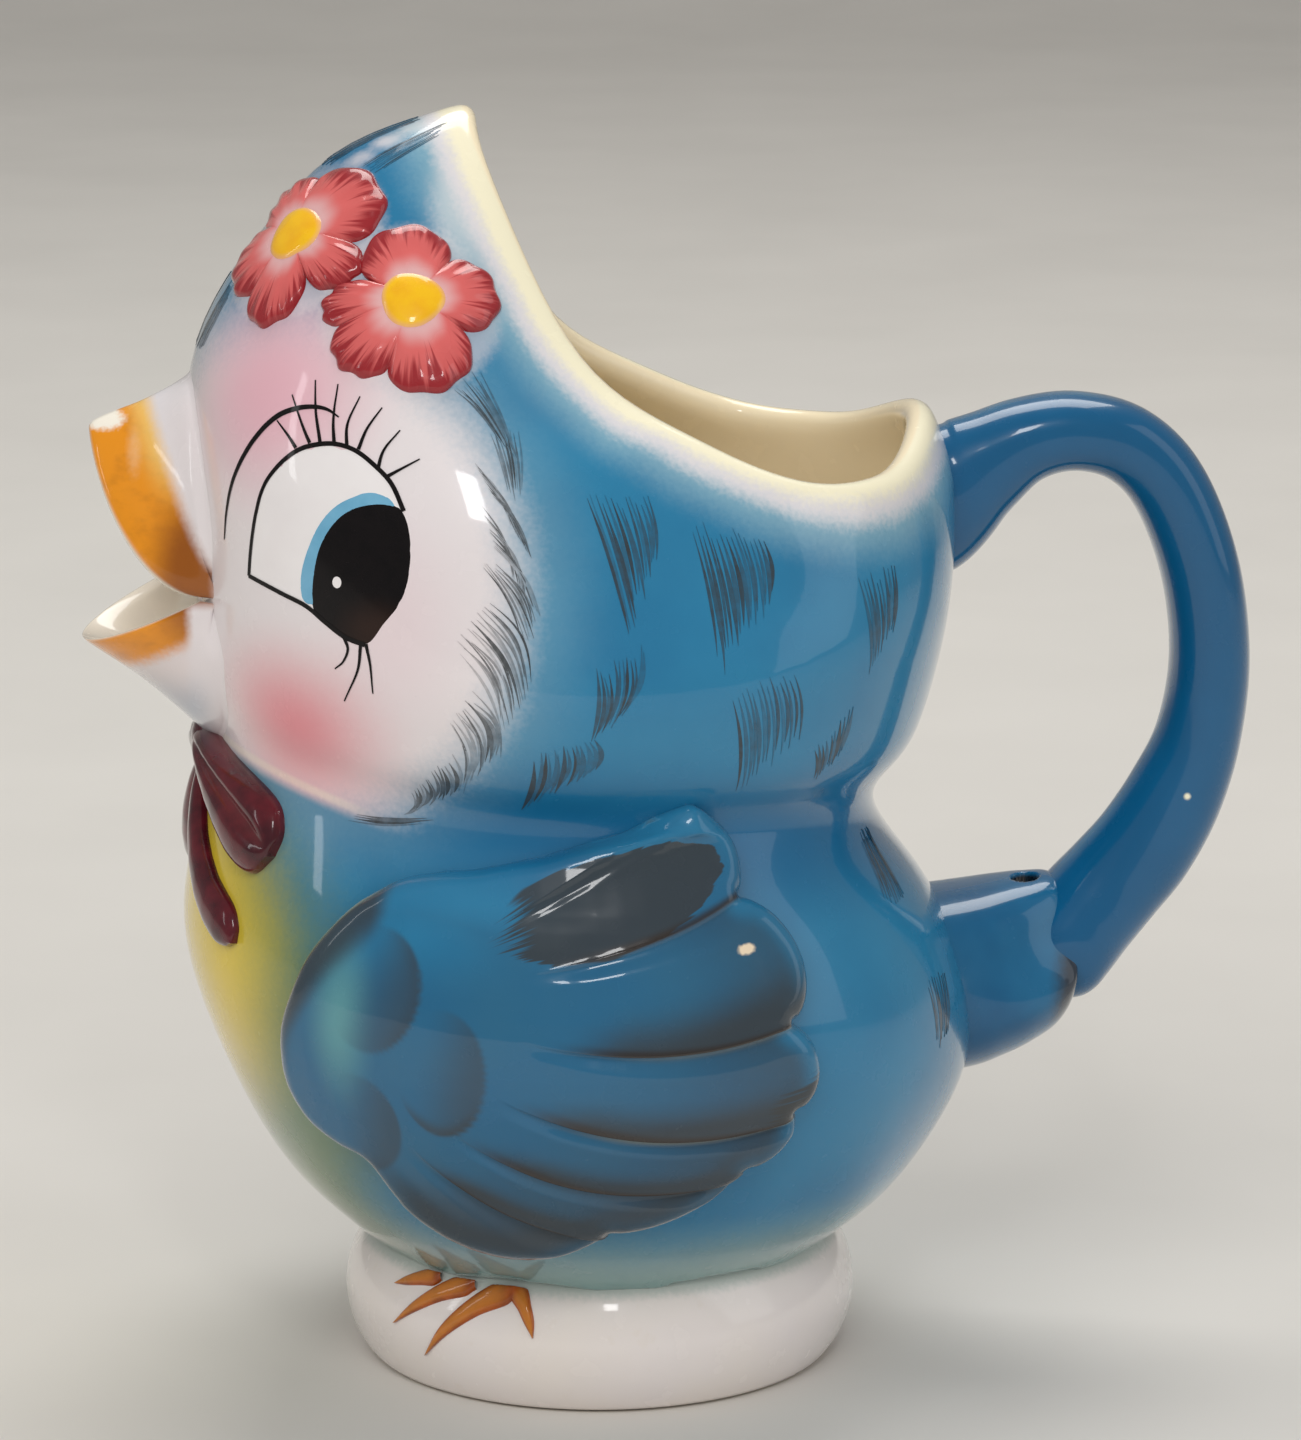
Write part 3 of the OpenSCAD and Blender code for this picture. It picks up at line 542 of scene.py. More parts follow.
def ground():
    """Node group with the airbrushed ground colour of the jug's outside."""
    found = bpy.data.node_groups.get("airbrushed ground")
    if found:
        return found
    group = bpy.data.node_groups.new("airbrushed ground", "ShaderNodeTree")
    group.interface.new_socket("Color", in_out="OUTPUT", socket_type="NodeSocketColor")
    c, p = Coats(group), paints()
    out = group.nodes.new("NodeGroupOutput")
    c.colour = p.sky
    c.coat(p.deep, c.cloud(0.06, 0.35, 0.75, 4.0), 0.45)
    # The neck groove, which slants down to the back, and the shade under the wing
    groove = c.apart(c.plus(c.z, c.x, 0.128), 54.5)
    c.coat(p.deep, c.step(groove, 9.0, 0.5), 0.75)
    c.coat(p.deep, c.mist((2, 36, 32), (34, 20, 24)), 0.35)
    # The thin spray above the foot
    c.coat(p.shallow, c.step(c.ragged(c.z, 3.0), 21.0, 12.0), 0.85)
    # Yellow breast that runs through green into blue
    c.coat(p.moss, c.mist((-38, 0, 34), (34, 35, 28), 0.66), 0.9)
    c.coat(p.moss, c.mist((-24, 8, 17), (15, 17, 12), 0.2), 0.75)
    c.coat(p.breast, c.mist((-39, 0, 40), (22, 26, 20), 0.5, 1.05))
    # White face above the jaw, with pink sprays
    jaw = c.plus(c.z, c.x, 0.3)
    above = c.step(jaw, 47.4, 48.6)
    face = (-27, 16, 76)
    c.coat(p.mist, c.mist(face, (24, 60, 26), 0.6, 1.1), 0.4)
    c.coat(p.face, c.mist(face, (19.5, 60, 23.5), 0.72, 1.06, ragged=0.18), above)
    c.coat(p.haze, c.mist((-29, 14, 91), (13, 16, 13), 0.1), 0.9)
    c.coat(p.haze, c.mist((-21, 26, 73), (9, 9, 13), 0.1), 0.2)
    c.coat(p.blush, c.mist((-29, 18.5, 62.4), (14.5, 15, 11), 0.0), above, 0.88)
    seam = c.step(c.apart(jaw, 48.7), 0.6, 0.1)
    c.coat(p.ivory, seam, c.step(c.x, -21.0, -26.0), 0.3)
    # Wiped places on the crest and round the flowers
    wiped = c.mist((-13.4, -10, 106), (3.6, 7, 7), 0.3, left_only=True, ragged=0.9)
    c.coat(p.face, wiped, 0.65)
    ridge = ((-13.5, -1.7, 113.2), (-16, -2, 112.1), (-18.5, -2.6, 110.8), (-21, -3.4, 109.4))
    for middle in ridge:
        c.coat(p.face, c.mist(middle, (2.4, 1.6, 1.8), left_only=True, ragged=0.6), 0.75)
    for middle in FLOWERS.values():
        halo = c.mist(middle, (8.9, 8.9, 8.9), 0.8, left_only=True, ragged=0.25)
        c.coat(p.face, halo, 0.42)
    c.coat(p.deep, c.mist((-24, 2, 108), (8, 9, 4.5), 0.1), 0.4)
    c.put(c.colour, out.inputs["Color"])
    return group


def glazed(name, lay_coats, rough=0.26, dimple=0.04, coat=1.0):
    """Material of a paint under clear gloss glaze. lay_coats lays the paints."""
    found = bpy.data.materials.get(name)
    if found:
        return found
    material = bpy.data.materials.new(name)
    material.use_nodes = True
    c = Coats(material.node_tree)
    lay_coats(c, paints())
    c.coat(paints().smoke, c.cloud(1.1, 0.7, 0.78), 0.035)
    peel = c.node("ShaderNodeBump", Height=c.grain(0.22), Strength=dimple, Distance=0.001)
    glaze = {
        "Base Color": c.colour,
        "Roughness": c.plus(rough - 0.06, c.grain(0.35, 3.0), 0.12),
        "Normal": peel.outputs["Normal"],
        "IOR": 1.5,
        "Specular IOR Level": 0.25 * coat,
        "Coat Weight": coat,
        "Coat Roughness": 0.05,
        "Coat IOR": 1.42,
    }
    shader = material.node_tree.nodes["Principled BSDF"]
    for key, value in glaze.items():
        c.put(value, shader.inputs[key])
    return material


def on_ground(c):
    return c.node("ShaderNodeGroup", {"node_tree": ground()}).outputs["Color"]


def body_coats(c, p):
    c.colour = on_ground(c)
    thin = c.ragged(c.mark("lip"), 0.16)
    c.coat(p.mist, c.step(thin, 0.45, 0.8), 0.6)
    c.coat(p.face, c.step(thin, 0.68, 0.82), 0.85)
    c.coat(p.ivory, c.step(thin, 0.8, 0.92))
    c.coat(p.inside, c.step(c.mark("within"), 0.35, 0.75))


def foot_coats(c, p):
    c.colour = p.foot
    c.coat(p.face, c.grain(0.08, 3.0))
    c.coat(p.bisque, c.cloud(0.5, 0.62, 0.74, 4.0), 0.12)
    c.coat(p.shallow, c.step(c.plus(c.z, c.wander(), 1.2), 10.9, 12.0), 0.5)
    c.coat(p.bisque, c.step(c.z, 0.45, 0.1))


def handle_coats(c, p):
    c.colour = p.loop
    c.coat(p.deep, c.cloud(0.07, 0.3, 0.75), 0.6)
    # Lighter blue along the inner and outer edges of the loop: partly the glaze thinning over the
    # edge, partly a painted reflection
    around, _ = c.chart()
    edge = c.apart(c.math("FRACT", c.times(around, 2.0)), 0.5)
    c.coat(p.sky, c.step(edge, 0.36, 0.5), c.cloud(0.12, 0.25, 0.7, 2.0), 0.6)
    nick = c.mist((53.2, -4.2, 50.6), (0.45, 0.9, 0.45), 0.3, left_only=True, ragged=0.5)
    c.coat(p.ivory, nick)


def tail_coats(c, p):
    c.colour = p.loop
    c.coat(p.sky, c.cloud(0.09, 0.3, 0.75), 0.45)
    c.coat(p.umber, c.mist((44.4, 5, 33.2), (5.0, 9, 7.0), 0.55, ragged=0.25), 0.85)
    # Painted shade: the vent's pit is painted black, as the deep hole would look
    c.coat(p.ink, c.step(c.mark("pit"), 0.02, 0.16))


def beak_coats(c, p):
    c.colour = p.beak
    streak = c.grain(0.5, 3.0, stretch=(1.0, 0.35, 1.6))
    c.coat(p.horn, c.step(streak, 0.45, 0.8), 0.25)
    # Painted shade: brown darkening into the corner of the beak beside the face
    c.coat(p.horn, c.mist((-36.2, 9.0, 74.5), (5.6, 6.6, 9.5), 0.3), 0.95)
    # The orange of the hood thins out to straw and then to the bare root beside the face
    over = c.math("MAXIMUM", c.math("SUBTRACT", c.z, 74.6), 0.0)
    bow = c.ragged(c.plus(c.x, c.math("POWER", over, 0.665), 0.924), 0.8)
    c.coat(tint(250, 216, 126), c.step(bow, -37.6, -34.8), c.step(c.z, 79.0, 85.0), 0.7)
    bare = c.times(c.step(bow, -35.5, -33.7), c.step(c.z, 71.0, 72.4))
    low = c.times(c.step(c.ragged(c.x, 0.8), -37.7, -36.5), c.step(c.z, 72.4, 71.0))
    c.coat(c.mix(on_ground(c), p.face, 0.75), c.math("MAXIMUM", bare, low))
    # White under the scoop, with a breath of blue at the chin
    under = c.ragged(c.plus(c.z, c.x, -0.55), 1.6)
    c.coat(p.face, c.step(under, 89.6, 87.4), 0.95)
    c.coat(p.sky, c.step(c.z, 66.0, 60.5), c.step(c.x, -34.0, -37.0), 0.4)
    # A painted highlight as a paler streak on the side of the hood, then the inside, and the chip
    # on the tip
    c.coat(p.ivory, c.mist((-41.4, 5.0, 85.5), (1.0, 3.5, 3.8), 0.1, ragged=0.8), 0.3)
    c.coat(c.mix(p.face, p.ivory, 0.5), c.mark("within"), 0.95)
    c.coat(tint(252, 246, 232), c.mist((-44.3, 1.2, 87.0), (2.6, 3.4, 1.3), 0.6, ragged=0.9))


def wing_coats(c, p):
    c.colour = p.wing
    c.coat(p.deep, c.cloud(0.1, 0.3, 0.75), 0.4)
    c.coat(on_ground(c), c.mark("root"))
    # Painted highlight: lighter blue on the rolled edges of the feather tips and the shoulder
    c.coat(p.sky, c.mark("brim"), 0.6)
    c.coat(p.teal, c.mark("sheen"), 0.8)
    c.coat(p.covert, c.mark("covert"), 0.9)
    c.coat(p.smoke, c.step(c.ragged(c.mark("shade"), 0.14), 0.05, 1.1), 0.9)
    lanes = c.spot(c.mark("lane"), c.mark("reach"))
    bristle = c.grain(1.0, where=lanes, stretch=(24.0, 2.0, 1.0))
    c.coat(p.smoke, c.step(c.push(c.mark("brush"), bristle, 1.5), 0.4, 0.66), 0.9)
    # Painted shadow: a dark brown line in the groove under each feather's step
    c.coat(p.umber, c.mark("line"), 0.85)
    # Straw: a painted highlight along the upper edge of each feather, partly bare glaze from wear,
    # and the bare front edge of the wing
    c.coat(p.straw, c.mark("worn"), 0.8)
    chip = c.mist((9.1, -31.5, 45.1), (1.0, 3.5, 0.6), 0.5, left_only=True, ragged=1.2)
    c.coat(tint(246, 226, 196), chip)


def petal_coats(c, p):
    around, out = c.chart()
    hairs = c.spot(c.times(around, 110.0), c.times(out, 1.3))
    far = c.mark("far")
    depth = c.push(far, c.grain(1.0, where=hairs), 0.95)
    depth = c.push(depth, c.grain(1.0, 1.0, where=c.spot(c.times(around, 22.0))), 0.6)
    c.colour = p.petal
    c.coat(p.face, c.step(far, 0.58, 0.31), 0.5)
    c.coat(p.brush, c.step(far, 0.45, 1.0), 0.3)
    c.coat(p.brush, c.step(depth, 0.7, 0.92), 0.92)
    c.coat(p.brush, c.step(far, 0.9, 0.98), 0.4)


def centre_coats(c, p):
    c.colour = p.centre
    c.coat(p.beak, c.cloud(0.5, 0.4, 0.7), 0.3)
    c.coat(tint(236, 176, 150), c.step(c.mark("far"), 0.74, 1.0), 0.75)


def bow_coats(c, p):
    c.colour = p.bow
    c.coat(tint(58, 12, 24), c.cloud(0.3, 0.35, 0.7))
    # Painted highlight: a lighter streak along the fold of each loop
    c.coat(tint(146, 60, 62), c.mark("crease"), 0.65)


def toe_coats(c, p):
    c.colour = p.toe
    c.coat(tint(120, 52, 16), c.cloud(0.7, 0.35, 0.7), 0.6)
    c.coat(tint(224, 150, 60), c.mark("crease"), 0.5)


def ink_coats(c, p):
    c.colour = p.ink
    c.coat(tint(30, 26, 26), c.grain(0.8))


def pupil_coats(c, p):
    c.colour = p.ink
    c.coat(tint(24, 20, 21), c.grain(0.8))
    # Painted reflection: warm brown on the lower part of the pupil
    c.coat(tint(58, 38, 30), c.mist((-22, 26.5, 72.5), (5, 6, 3.6), 0.1), 0.55)


def iris_coats(c, p):
    c.colour = p.iris
    c.coat(p.sky, c.grain(0.6, 3.0), 0.5)


def white_coats(c, p):
    c.colour = p.face
    c.coat(tint(250, 248, 248), c.plus(0.3, c.grain(0.3), 0.5))


def stroke_coats(c, p):
    c.colour = on_ground(c)
    share = c.push(c.times(c.mark("ink"), 0.9), c.grain(1.4, 3.0), 0.35)
    c.coat(p.smoke, c.step(share, 0.0, 0.95))


class Piece:
    """What the jug's operators have in common."""

    bl_options = {"REGISTER", "UNDO"}


class CREAM_JUG_OT_body(Piece, bpy.types.Operator):
    """Hollow body with head and rim, smoothed from its solid and airbrushed"""

    bl_idname = "cream_jug.body"
    bl_label = "Body"
    # Solid points closer than this become one, and flat pairs of triangles become quads
    weld, flat, square = 2e-6, math.radians(40), math.radians(50)
    # All in metres: the body's axis, where the inside starts, how far up it is smoothed, and the
    # lowest and the foremost place of the rim
    axis, floor, shoulder, rim_low, rim_front = 0.002, 0.0125, 0.066, 0.075, -0.03
    # Rounds of smoothing inside, and how strong each is
    rounds, strength = 4, 0.5
    # Middle and reach in mm of the part of the crest that is fuller than in the solid
    crest, crest_reach = (-20.8, 0.0, 109.0), (11.8, 10.0, 8.6)
    # Reach in metres of the thin paint round the rim
    lip_reach = 0.016

    def execute(self, context):
        bm = bmesh.new()
        bm.from_mesh(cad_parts["jug_body"].data)
        bmesh.ops.remove_doubles(bm, verts=bm.verts, dist=self.weld)
        bmesh.ops.join_triangles(
            bm,
            faces=bm.faces,
            angle_face_threshold=self.flat,
            angle_shape_threshold=self.square,
        )
        bm.normal_update()
        within = bm.verts.layers.float.new("within")
        lip = bm.verts.layers.float.new("lip")
        for v in bm.verts:
            out = Vector((v.co.x - self.axis, v.co.y, 0)).dot(v.normal)
            v[within] = 1.0 if out < 0 and v.co.z > self.floor else 0.0
        deep = [v for v in bm.verts if v[within] and v.co.z < self.shoulder]
        axes = dict.fromkeys(("use_axis_x", "use_axis_y", "use_axis_z"), True)
        for _ in range(self.rounds):
            bmesh.ops.smooth_vert(bm, verts=deep, factor=self.strength, **axes)
        for v in bm.verts:
            off = v.co / MM - Vector(self.crest)
            far = Vector(a / reach for a, reach in zip(off, self.crest_reach)).length
            if v[within] == 0.0 and far < 1.0:
                v.co += v.normal * ease(1.0, 0.2, far) * MM
        edge = [
            e
            for e in bm.edges
            if e.verts[0][within] != e.verts[1][within]
            and min(v.co.z for v in e.verts) > self.rim_low
            and min(v.co.x for v in e.verts) > self.rim_front
        ]
        if not edge:
            raise RuntimeError("the rim wasn't found on the body")
        near = KDTree(len(edge))
        for i, e in enumerate(edge):
            near.insert((e.verts[0].co + e.verts[1].co) / 2, i)
        near.balance()
        for v in bm.verts:
            v[lip] = max(0.0, 1.0 - near.find(v.co)[2] / self.lip_reach)
        glaze = glazed("airbrushed glaze", body_coats)
        settle(bm, "body_shell", glaze, ["jug_body"], levels=1, facing=False)
        return {"FINISHED"}


class CREAM_JUG_OT_foot(Piece, bpy.types.Operator):
    """Round white foot, turned in one spin"""

    bl_idname = "cream_jug.foot"
    bl_label = "Foot"
    # Middle and radius in mm of the arc of the side, and its two ends in degrees
    arc_x, arc_z, arc, high_end, low_end = 14.8, 5.82, 8.5, 40.2, -43.2

    def execute(self, context):
        span = self.high_end - self.low_end
        turns = [math.radians(self.high_end - k * span / 30) for k in range(30)]
        side = [
            (self.arc_x + self.arc * math.cos(a), self.arc_z + self.arc * math.sin(a))
            for a in turns
        ]
        profile = [(0, 12.3), (12, 12.3), (20.2, 12.3), (20.9, 11.8), *side]
        profile += [(20.9, 0.2), (20.5, 0.02), (17.6, 0.02), (17.15, 0.2), (16.9, 0.8)]
        profile += [(16.3, 1.7), (15.4, 2.0), (0, 2.0)]
        bm = bmesh.new()
        verts = [bm.verts.new((x * MM, 0, z * MM)) for x, z in profile]
        edges = [bm.edges.new(two) for two in zip(verts, verts[1:])]
        bmesh.ops.spin(
            bm,
            geom=verts + edges,
            axis=(0, 0, 1),
            cent=(0, 0, 0),
            angle=2 * math.pi,
            steps=180,
            use_merge=True,
        )
        bmesh.ops.remove_doubles(bm, verts=bm.verts, dist=1e-6)
        glaze = glazed("white foot glaze", foot_coats)
        settle(bm, "foot_white", glaze, ["foot_ring"])
        return {"FINISHED"}


class CREAM_JUG_OT_toes(Piece, bpy.types.Operator):
    """Low relief toes and spurs laid on the foot"""

    bl_idname = "cream_jug.toes"
    bl_label = "Toes"
    # Turn in degrees, height and half width in mm along each toe
    toes = {
        "toe_front": [
            (-137.0, 11.2, 0.4), (-139.2, 11.0, 0.76), (-143, 10.6, 0.62), (-147.5, 10.0, 0.4),
            (-151, 9.4, 0.0),
        ],
        "toe_middle": [
            (-127, 11.2, 0.5), (-130, 10.9, 0.92), (-136, 9.9, 0.74), (-142.5, 8.2, 0.46),
            (-149, 6.0, 0.0),
        ],
        "toe_rear": [
            (-116.4, 11.2, 0.6), (-119.6, 10.8, 1.05), (-126, 9.4, 0.85), (-132.8, 7.0, 0.53),
            (-139, 3.9, 0.0),
        ],
        "spur": [
            (-117, 11.2, 0.5), (-115.6, 10.8, 0.8), (-113.8, 9.8, 0.6), (-112.3, 8.6, 0.42),
            (-111.2, 7.3, 0.0),
        ],
    }
    high, sunk = 0.6, 0.5

    def execute(self, context):
        chart = foot_chart(Skin.of("foot_white"))
        dome = lambda w, t: math.sqrt(max(0.0, 1 - w * w)) * (1 - 0.5 * t)
        crease = lambda w, t: ease(0.95, 0.35, abs(w)) * ease(0.1, 0.35, t)
        for name, line in self.toes.items():
            path = [(math.radians(a) * FOOT_RADIUS, z, half, self.high) for a, z, half in line]
            bm = bmesh.new()
            band(bm, chart, path, 48, 24, dome, self.sunk, crease)
            pair(bm, name, glazed("toe glaze", toe_coats), [name])
        return {"FINISHED"}


class CREAM_JUG_OT_handle(Piece, bpy.types.Operator):
    """Loop handle from the back of the head to the tail"""

    bl_idname = "cream_jug.handle"
    bl_label = "Handle"
    # x, z, half depth and half width in mm along the loop, from the head to the tail
    line = [
        (29.4, 77.5, 6.75, 4.99),
        (31.9, 78.1, 6.6, 4.82),
        (35.0, 80.85, 4.83, 4.47),
        (38.65, 83.0, 3.83, 4.3),
        (43.26, 83.7, 3.55, 4.3),
        (48.1, 82.3, 3.55, 4.3),
        (51.9, 78.3, 3.55, 4.3),
        (54.8, 71.0, 3.55, 4.3),
        (55.88, 62.8, 3.6, 4.3),
        (55.0, 55.4, 3.85, 4.3),
        (52.9, 49.8, 4.4, 4.3),
        (50.2, 45.2, 4.7, 4.4),
        (47.5, 42.0, 4.8, 4.7),
        (44.9, 39.1, 4.9, 5.4),
        (43.0, 36.7, 4.7, 5.8),
        (41.4, 34.6, 4.3, 5.2),
        (40.0, 33.0, 2.6, 3.4),
    ]
    # Share of the rows that closes each end, shares of the loop over which its section turns from
    # upright at the head and gets squarer at the tail, and the roundness before and lost there
    cap, upright, squarer, round_start, round_loss = 0.01, (0.2, 0.02), (0.8, 0.92), 0.9, 0.26

    def execute(self, context):
        def place(s, t):
            share = min(1.0, max(0.0, (t - self.cap) / (1 - 2 * self.cap)))
            x, z, deep, wide = along(self.line, share)
            run, climb = heading(self.line, share)
            upright = ease(*self.upright, share)
            way = Vector((-climb, 0, run)).normalized().lerp(Vector((0, 0, 1)), upright)
            grow = 0.0 if t in (0.0, 1.0) else 1.0
            power = self.round_start - self.round_loss * ease(*self.squarer, share)
            a, b = (soft(f(2 * math.pi * s), power) for f in (math.cos, math.sin))
            section = way.normalized() * deep * a + Vector((0, wide * b, 0))
            return Vector((x, 0, z)) + section * grow, {}

        bm = bmesh.new()
        shaped(bm, 72, 220, place)
        glaze = glazed("handle glaze", handle_coats)
        settle(bm, "handle_loop", glaze, ["handle"])
        return {"FINISHED"}


class CREAM_JUG_OT_tail(Piece, bpy.types.Operator):
    """Tail stub with its shelf and vent hole"""

    bl_idname = "cream_jug.tail"
    bl_label = "Tail"
    # Place of the vent, its depth, and the share of the rows before the closed end
    vent_x, vent_y, vent_deep, body = 39.0, -0.8, 3.2, 0.97
    # x, z, half height, half width and pinch of the shelf along the tail
    line = [
        (27.0, 33.5, 9.2, 9.0, 0.0),
        (33.5, 34.3, 9.2, 9.0, 0.1),
        (36.6, 35.0, 8.9, 8.9, 0.2),
        (39.2, 35.7, 8.4, 8.6, 0.3),
        (41.6, 36.4, 7.5, 7.8, 0.43),
        (42.9, 36.5, 5.3, 6.8, 0.52),
        (43.3, 36.6, 2.6, 4.4, 0.5),
    ]

    def execute(self, context):
        vent = sizes().vent / MM / 2

        def place(s, t):
            x, z, tall, wide, pinch = along(self.line, min(1.0, t / self.body))
            close = 1 - max(0.0, t - self.body) / (1 - self.body)
            a, b = math.cos(2 * math.pi * s), math.sin(2 * math.pi * s)
            rise = 0.84 * soft(a, 0.6) if a > 0 else soft(a, 0.88)
            waist = 1 - pinch * ease(-0.5, 0.4, rise)
            y = wide * close * soft(b, 0.88) * waist
            off = math.hypot(x - self.vent_x, y - self.vent_y) / vent
            # pit also marks where the vent is painted black, as painted shade in the hole
            pit = ease(1.12, 0.86, off) if a > 0 else 0.0
            return (x, y, z + tall * close * rise - self.vent_deep * pit), {"pit": pit}

        bm = bmesh.new()
        shaped(bm, 220, 130, place, marks=["pit"])
        settle(bm, "tail_stub", glazed("tail glaze", tail_coats), ["tail"])
        return {"FINISHED"}


class CREAM_JUG_OT_beaks(Piece, bpy.types.Operator):
    """Upper and lower beak round the pouring hole"""

    bl_idname = "cream_jug.beaks"
    bl_label = "Beaks"
    # Widening and height over the face of the rings that blend a beak's root into the face
    fillet = [(2.0, -0.3), (1.0, 0.16), (0.25, 0.9)]
    # Half width, wall, heights of the two parting lines and height of each half, in mm
    half, wall, parting, seam, hood, scoop = 9.5, 1.8, 72.3, 71.6, 17.2, 13.0

    def flare(self, c, s, grow, rise, height, tall):
        """Point of a ring round a beak's root, laid on the face."""
        open_share = ease(0.0, 0.35, s)
        out = grow * open_share
        up = height + (tall + math.copysign(out, tall)) * s
        return self.seat(-(self.half + out) * c, up, rise * open_share)

    def seat(self, y, z, rise):
        """Point of the face at y and z, raised over it or sunk into it."""
        point, lean = Skin.of("body_shell").cast((-FACE_START, y, z), (1, 0, 0))
        return point + lean * rise

    def upper(self, c, s):
        """Profile of the hood at one turn round it, from its root over the edge and back."""
        root = [self.flare(c, s, *lap, self.parting, self.hood) for lap in self.fillet]
        edge = Vector((-35 - 10 * s, -9.4 * c, self.parting + 14.1 * (1 - abs(c) ** 1.3)))
        neck = Vector((-32.8, -self.half * c, self.parting + self.hood * s))
        mid = neck.lerp(edge, 0.6) + Vector((-0.3 * s, -0.7 * c, 0.7 * s))
        edge_in = edge + self.wall * Vector((0.7 * s, c, -s))
        root_in = self.seat(-6.9 * c, self.parting + 15.3 * s, -0.5)
        return [*root, mid, edge, edge_in, root_in.lerp(edge_in, 0.45), root_in, root[0]]

    def lower(self, c, s):
        """Profile of the scoop in the same way."""
        root = [self.flare(c, s, *lap, self.seam, -self.scoop) for lap in self.fillet]
        edge = Vector((-36 - 9.9 * s, -9.4 * c, 72.0 - 5 * s))
        neck = Vector((-33.0, -self.half * c, self.seam - self.scoop * s))
        mid = neck.lerp(edge, 0.6) + Vector((0, -0.3 * c, -0.4 * s))
        edge_in = edge + self.wall * Vector((0.7 * s, 0.9 * c, -0.1))
        root_in = self.seat(-7.1 * c, 71.4 - 6.2 * s, -0.5)
        dip = root_in.lerp(edge_in, 0.5) + Vector((0, 0, -0.6 * s))
        return [*root, mid, edge, edge_in, dip, root_in, root[0]]

    def execute(self, context):
        halves = {"hood": ("upper_beak", self.upper), "scoop": ("lower_beak", self.lower)}
        for name, (node, shape) in halves.items():

            def place(s, t):
                line = shape(math.cos(math.pi * s), math.sin(math.pi * s))
                return along(line, t), {"within": ease(0.5, 0.535, t)}

            bm = bmesh.new()
            shaped(bm, 80, 96, place, marks=["within"])
            rim = [e for e in bm.edges if e.is_boundary]
            bmesh.ops.holes_fill(bm, edges=rim, sides=0)
            glaze = glazed("beak glaze", beak_coats)
            settle(bm, "beak_" + name, glaze, [node])
        return {"FINISHED"}


